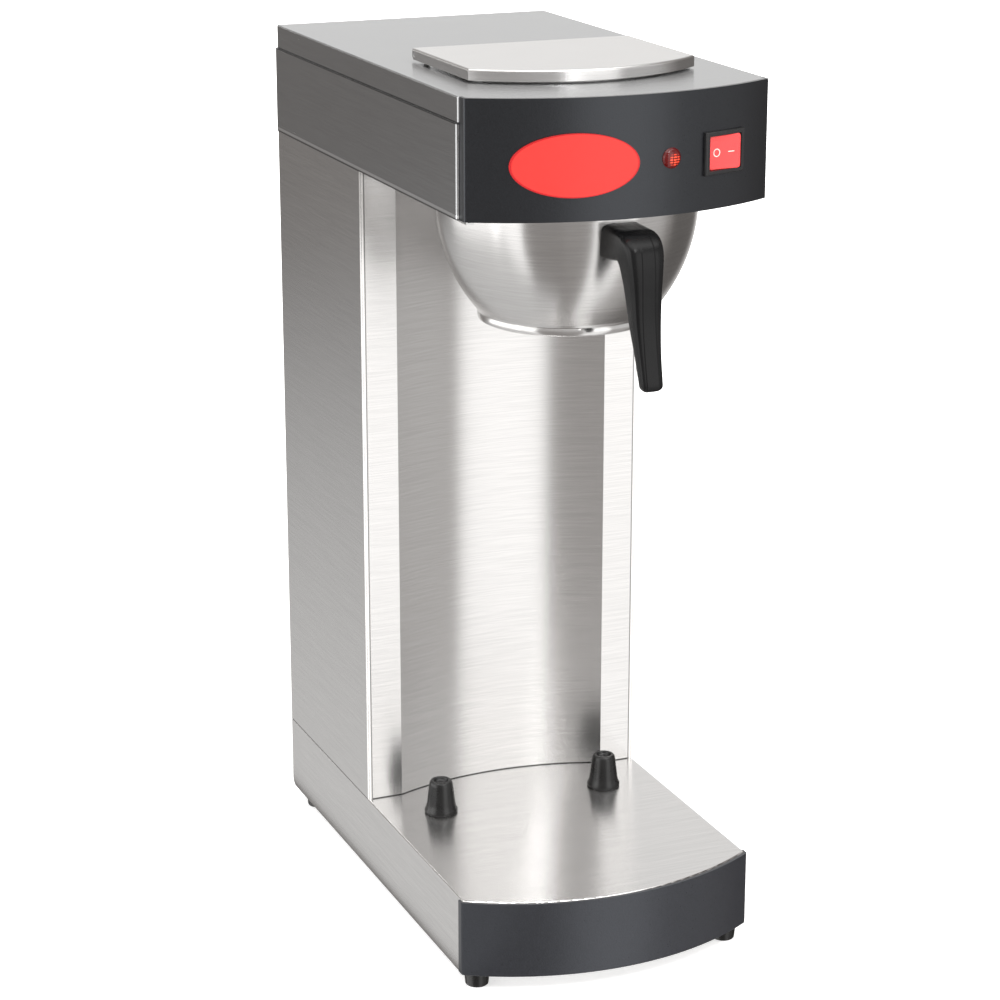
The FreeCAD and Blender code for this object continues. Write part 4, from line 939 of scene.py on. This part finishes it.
def studio_world():
    """Light of the room: upright panels all round, and a ceiling that is brighter in front.

    The room is darker low down. The camera sees white.
    """
    world = bpy.data.worlds.new("studio")
    bpy.context.scene.world = world
    world.use_nodes = True
    bench = Bench(world.node_tree)
    bench.tree.nodes.clear()
    x, y, z = bench.axes(bench.node("TexCoord", output="Generated"))
    azimuth = arithmetic(bench.tree, "ARCTAN2", x, 0.0 - y) * math.degrees(1.0)
    in_front = bench.ease(0.0 - y, -0.10, 0.35)
    light = 0.36 + bench.ease(z, 0.62, 0.86) * (0.5 + in_front * 1.3)
    lowered = 1.0 - bench.ease(z, 0.28, 0.55) * 0.65
    for middle, half, soft, power in STUDIO_PANELS:
        away = abs(azimuth - middle)
        inside = 1.0 - bench.ease(away, half - soft / 2, half + soft / 2)
        light = light + inside * lowered * power
    light = light * (0.88 + bench.ease(z, -0.35, 0.15) * 0.55)
    warmth = bench.mix(bench.ease(light, 0.2, 0.8), paint((1.0, 0.94, 0.90)), paint((1.0, 0.99, 0.98)))
    room = bench.node("Background", Color=warmth, Strength=light)
    white = bench.node("Background", Color=(1.0, 1.0, 1.0, 1.0), Strength=1.0)
    seen = bench.node("LightPath", output="Is Camera Ray")
    mixer = bench.tree.nodes.new("ShaderNodeMixShader")
    for place, value in zip(mixer.inputs, (seen, room, white)):
        connect(bench.tree, place, value)
    output = bench.tree.nodes.new("ShaderNodeOutputWorld")
    bench.tree.links.new(mixer.outputs[0], output.inputs["Surface"])


def card_glow():
    """A card on the floor beside the brewer, which fades towards the back: 0.70 - 0.10 y - 0.07 y squared."""
    made = Finish("card_glow")
    y = made.axes(made.place())[1]
    return made.set(
        Base_Color=(0.0, 0.0, 0.0, 1.0), Specular_IOR_Level=0.0, Emission_Color=(1.0, 0.99, 0.98, 1.0),
        Emission_Strength=0.70 - y * 0.10 - y * y * 0.07,
    )


def flat_stage(name, x, y, height, material):
    """A flat rectangle of the stage."""
    corners = [(x[0], y[0], height), (x[1], y[0], height), (x[1], y[1], height), (x[0], y[1], height)]
    mesh = bpy.data.meshes.new(name)
    mesh.from_pydata(corners, [], [(0, 1, 2, 3)])
    mesh.materials.append(material)
    sheet = bpy.data.objects.new(name, mesh)
    bpy.context.scene.collection.objects.link(sheet)
    sheet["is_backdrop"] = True
    return sheet


def direction(azimuth, elevation):
    """The way from the brewer to a place at an azimuth, from straight in front, and an elevation."""
    level = math.cos(elevation)
    return Vector((math.sin(azimuth) * level, -math.cos(azimuth) * level, math.sin(elevation)))


def aim(thing, target, back, distance):
    """Stands a camera or a light back from a target and turns it to face it."""
    thing.location = target + back * distance
    thing.rotation_euler = (-back).to_track_quat("-Z", "Y").to_euler()


def soft_light(name, azimuth, elevation, distance, size, power, mirrored=False):
    """A square soft light aimed at the brewer's middle, with its angles in degrees and its power in watts.

    Glossy surfaces show it only when it is mirrored.
    """
    data = bpy.data.lights.new(name, "AREA")
    data.size = size
    data.energy = power
    lamp = bpy.data.objects.new(name, data)
    aim(lamp, CAD_MIDDLE, direction(math.radians(azimuth), math.radians(elevation)), distance)
    lamp.visible_glossy = mirrored
    bpy.context.scene.collection.objects.link(lamp)


def make_floor(studio):
    """The pale floor, which gives off more light far away, and the card that only reflections show."""
    made = Finish("floor_white")
    x, y, _ = made.axes(made.place())
    far = made.ease((x * x + y * y) ** 0.5, 0.7, 3.0)
    made.set(
        Base_Color=(0.86, 0.86, 0.86, 1.0), Roughness=0.7, Emission_Color=(1.0, 1.0, 1.0, 1.0),
        Emission_Strength=studio.floor_glow + far * studio.floor_fade,
    )
    floor = flat_stage("floor", x=(-14.0, 14.0), y=(-6.0, 24.0), height=0.0, material=made.material)
    floor.visible_glossy = False
    card = flat_stage("bounce_card", x=(-1.3, -0.11), y=(-0.3, 1.9), height=0.0005, material=card_glow())
    card.visible_camera = False


def make_camera(studio):
    """The camera, aimed a little beside the brewer's middle."""
    camera = bpy.data.objects.new("camera", bpy.data.cameras.new("camera"))
    target = CAD_MIDDLE + Vector((studio.aim_across, studio.aim_back, 0.0))
    aim(camera, target, direction(studio.azimuth, studio.elevation), studio.distance)
    camera.data.lens = studio.lens
    camera.data.sensor_width = 36.0
    bpy.context.scene.collection.objects.link(camera)
    bpy.context.scene.camera = camera


class BREWER_OT_stage(bpy.types.Operator):
    """Makes the camera, the pale floor and the soft studio light"""

    bl_idname = "brewer.stage"
    bl_label = "Stage"

    def execute(self, context):
        studio = context.scene.brewer_studio
        make_floor(studio)
        studio_world()
        soft_light("key_light", azimuth=30.0, elevation=40.0, distance=2.0, size=0.8, power=9.0)
        soft_light(
            "spark_light", azimuth=4.0, elevation=42.0, distance=2.0, size=0.28, power=4.0, mirrored=True
        )
        soft_light("fill_light", azimuth=-62.0, elevation=50.0, distance=2.2, size=1.0, power=2.5)
        make_camera(studio)
        context.scene.view_settings.view_transform = "Standard"
        return {"FINISHED"}


class BREWER_PT_sidebar(bpy.types.Panel):
    """Sizes, colours and the buttons that make each piece"""

    bl_label = "Coffee Brewer"
    bl_idname = "BREWER_PT_sidebar"
    bl_space_type = "VIEW_3D"
    bl_region_type = "UI"
    bl_category = "Brewer"

    def draw(self, context):
        for group in (context.scene.brewer_sizes, context.scene.brewer_colours, context.scene.brewer_studio):
            box = self.layout.box()
            for name in group.__annotations__:
                box.prop(group, name)
        for operator in OPERATORS:
            self.layout.operator(operator.bl_idname)


GROUPS = {"brewer_sizes": BrewerSizes, "brewer_colours": BrewerColours, "brewer_studio": BrewerStudio}
OPERATORS = (
    BREWER_OT_stage, BREWER_OT_inside, BREWER_OT_casing, BREWER_OT_funnel, BREWER_OT_pegs, BREWER_OT_switch,
)


def register():
    for group in GROUPS.values():
        bpy.utils.register_class(group)
    for operator in OPERATORS:
        bpy.utils.register_class(operator)
    bpy.utils.register_class(BREWER_PT_sidebar)
    for name, group in GROUPS.items():
        setattr(bpy.types.Scene, name, PointerProperty(type=group))


def unregister():
    for name in GROUPS:
        delattr(bpy.types.Scene, name)
    bpy.utils.unregister_class(BREWER_PT_sidebar)
    for operator in reversed(OPERATORS):
        bpy.utils.unregister_class(operator)
    for group in reversed(list(GROUPS.values())):
        bpy.utils.unregister_class(group)


def main():
    """Makes every piece in order."""
    register()
    bpy.ops.brewer.stage()
    bpy.ops.brewer.inside()
    bpy.ops.brewer.casing()
    bpy.ops.brewer.funnel()
    bpy.ops.brewer.pegs()
    bpy.ops.brewer.switch()
    boxes = {"cad": CAD_BOX, "visual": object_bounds()}
    {name: [list(corner) for corner in box] for name, box in boxes.items()}


if __name__ == "__main__":
    main()
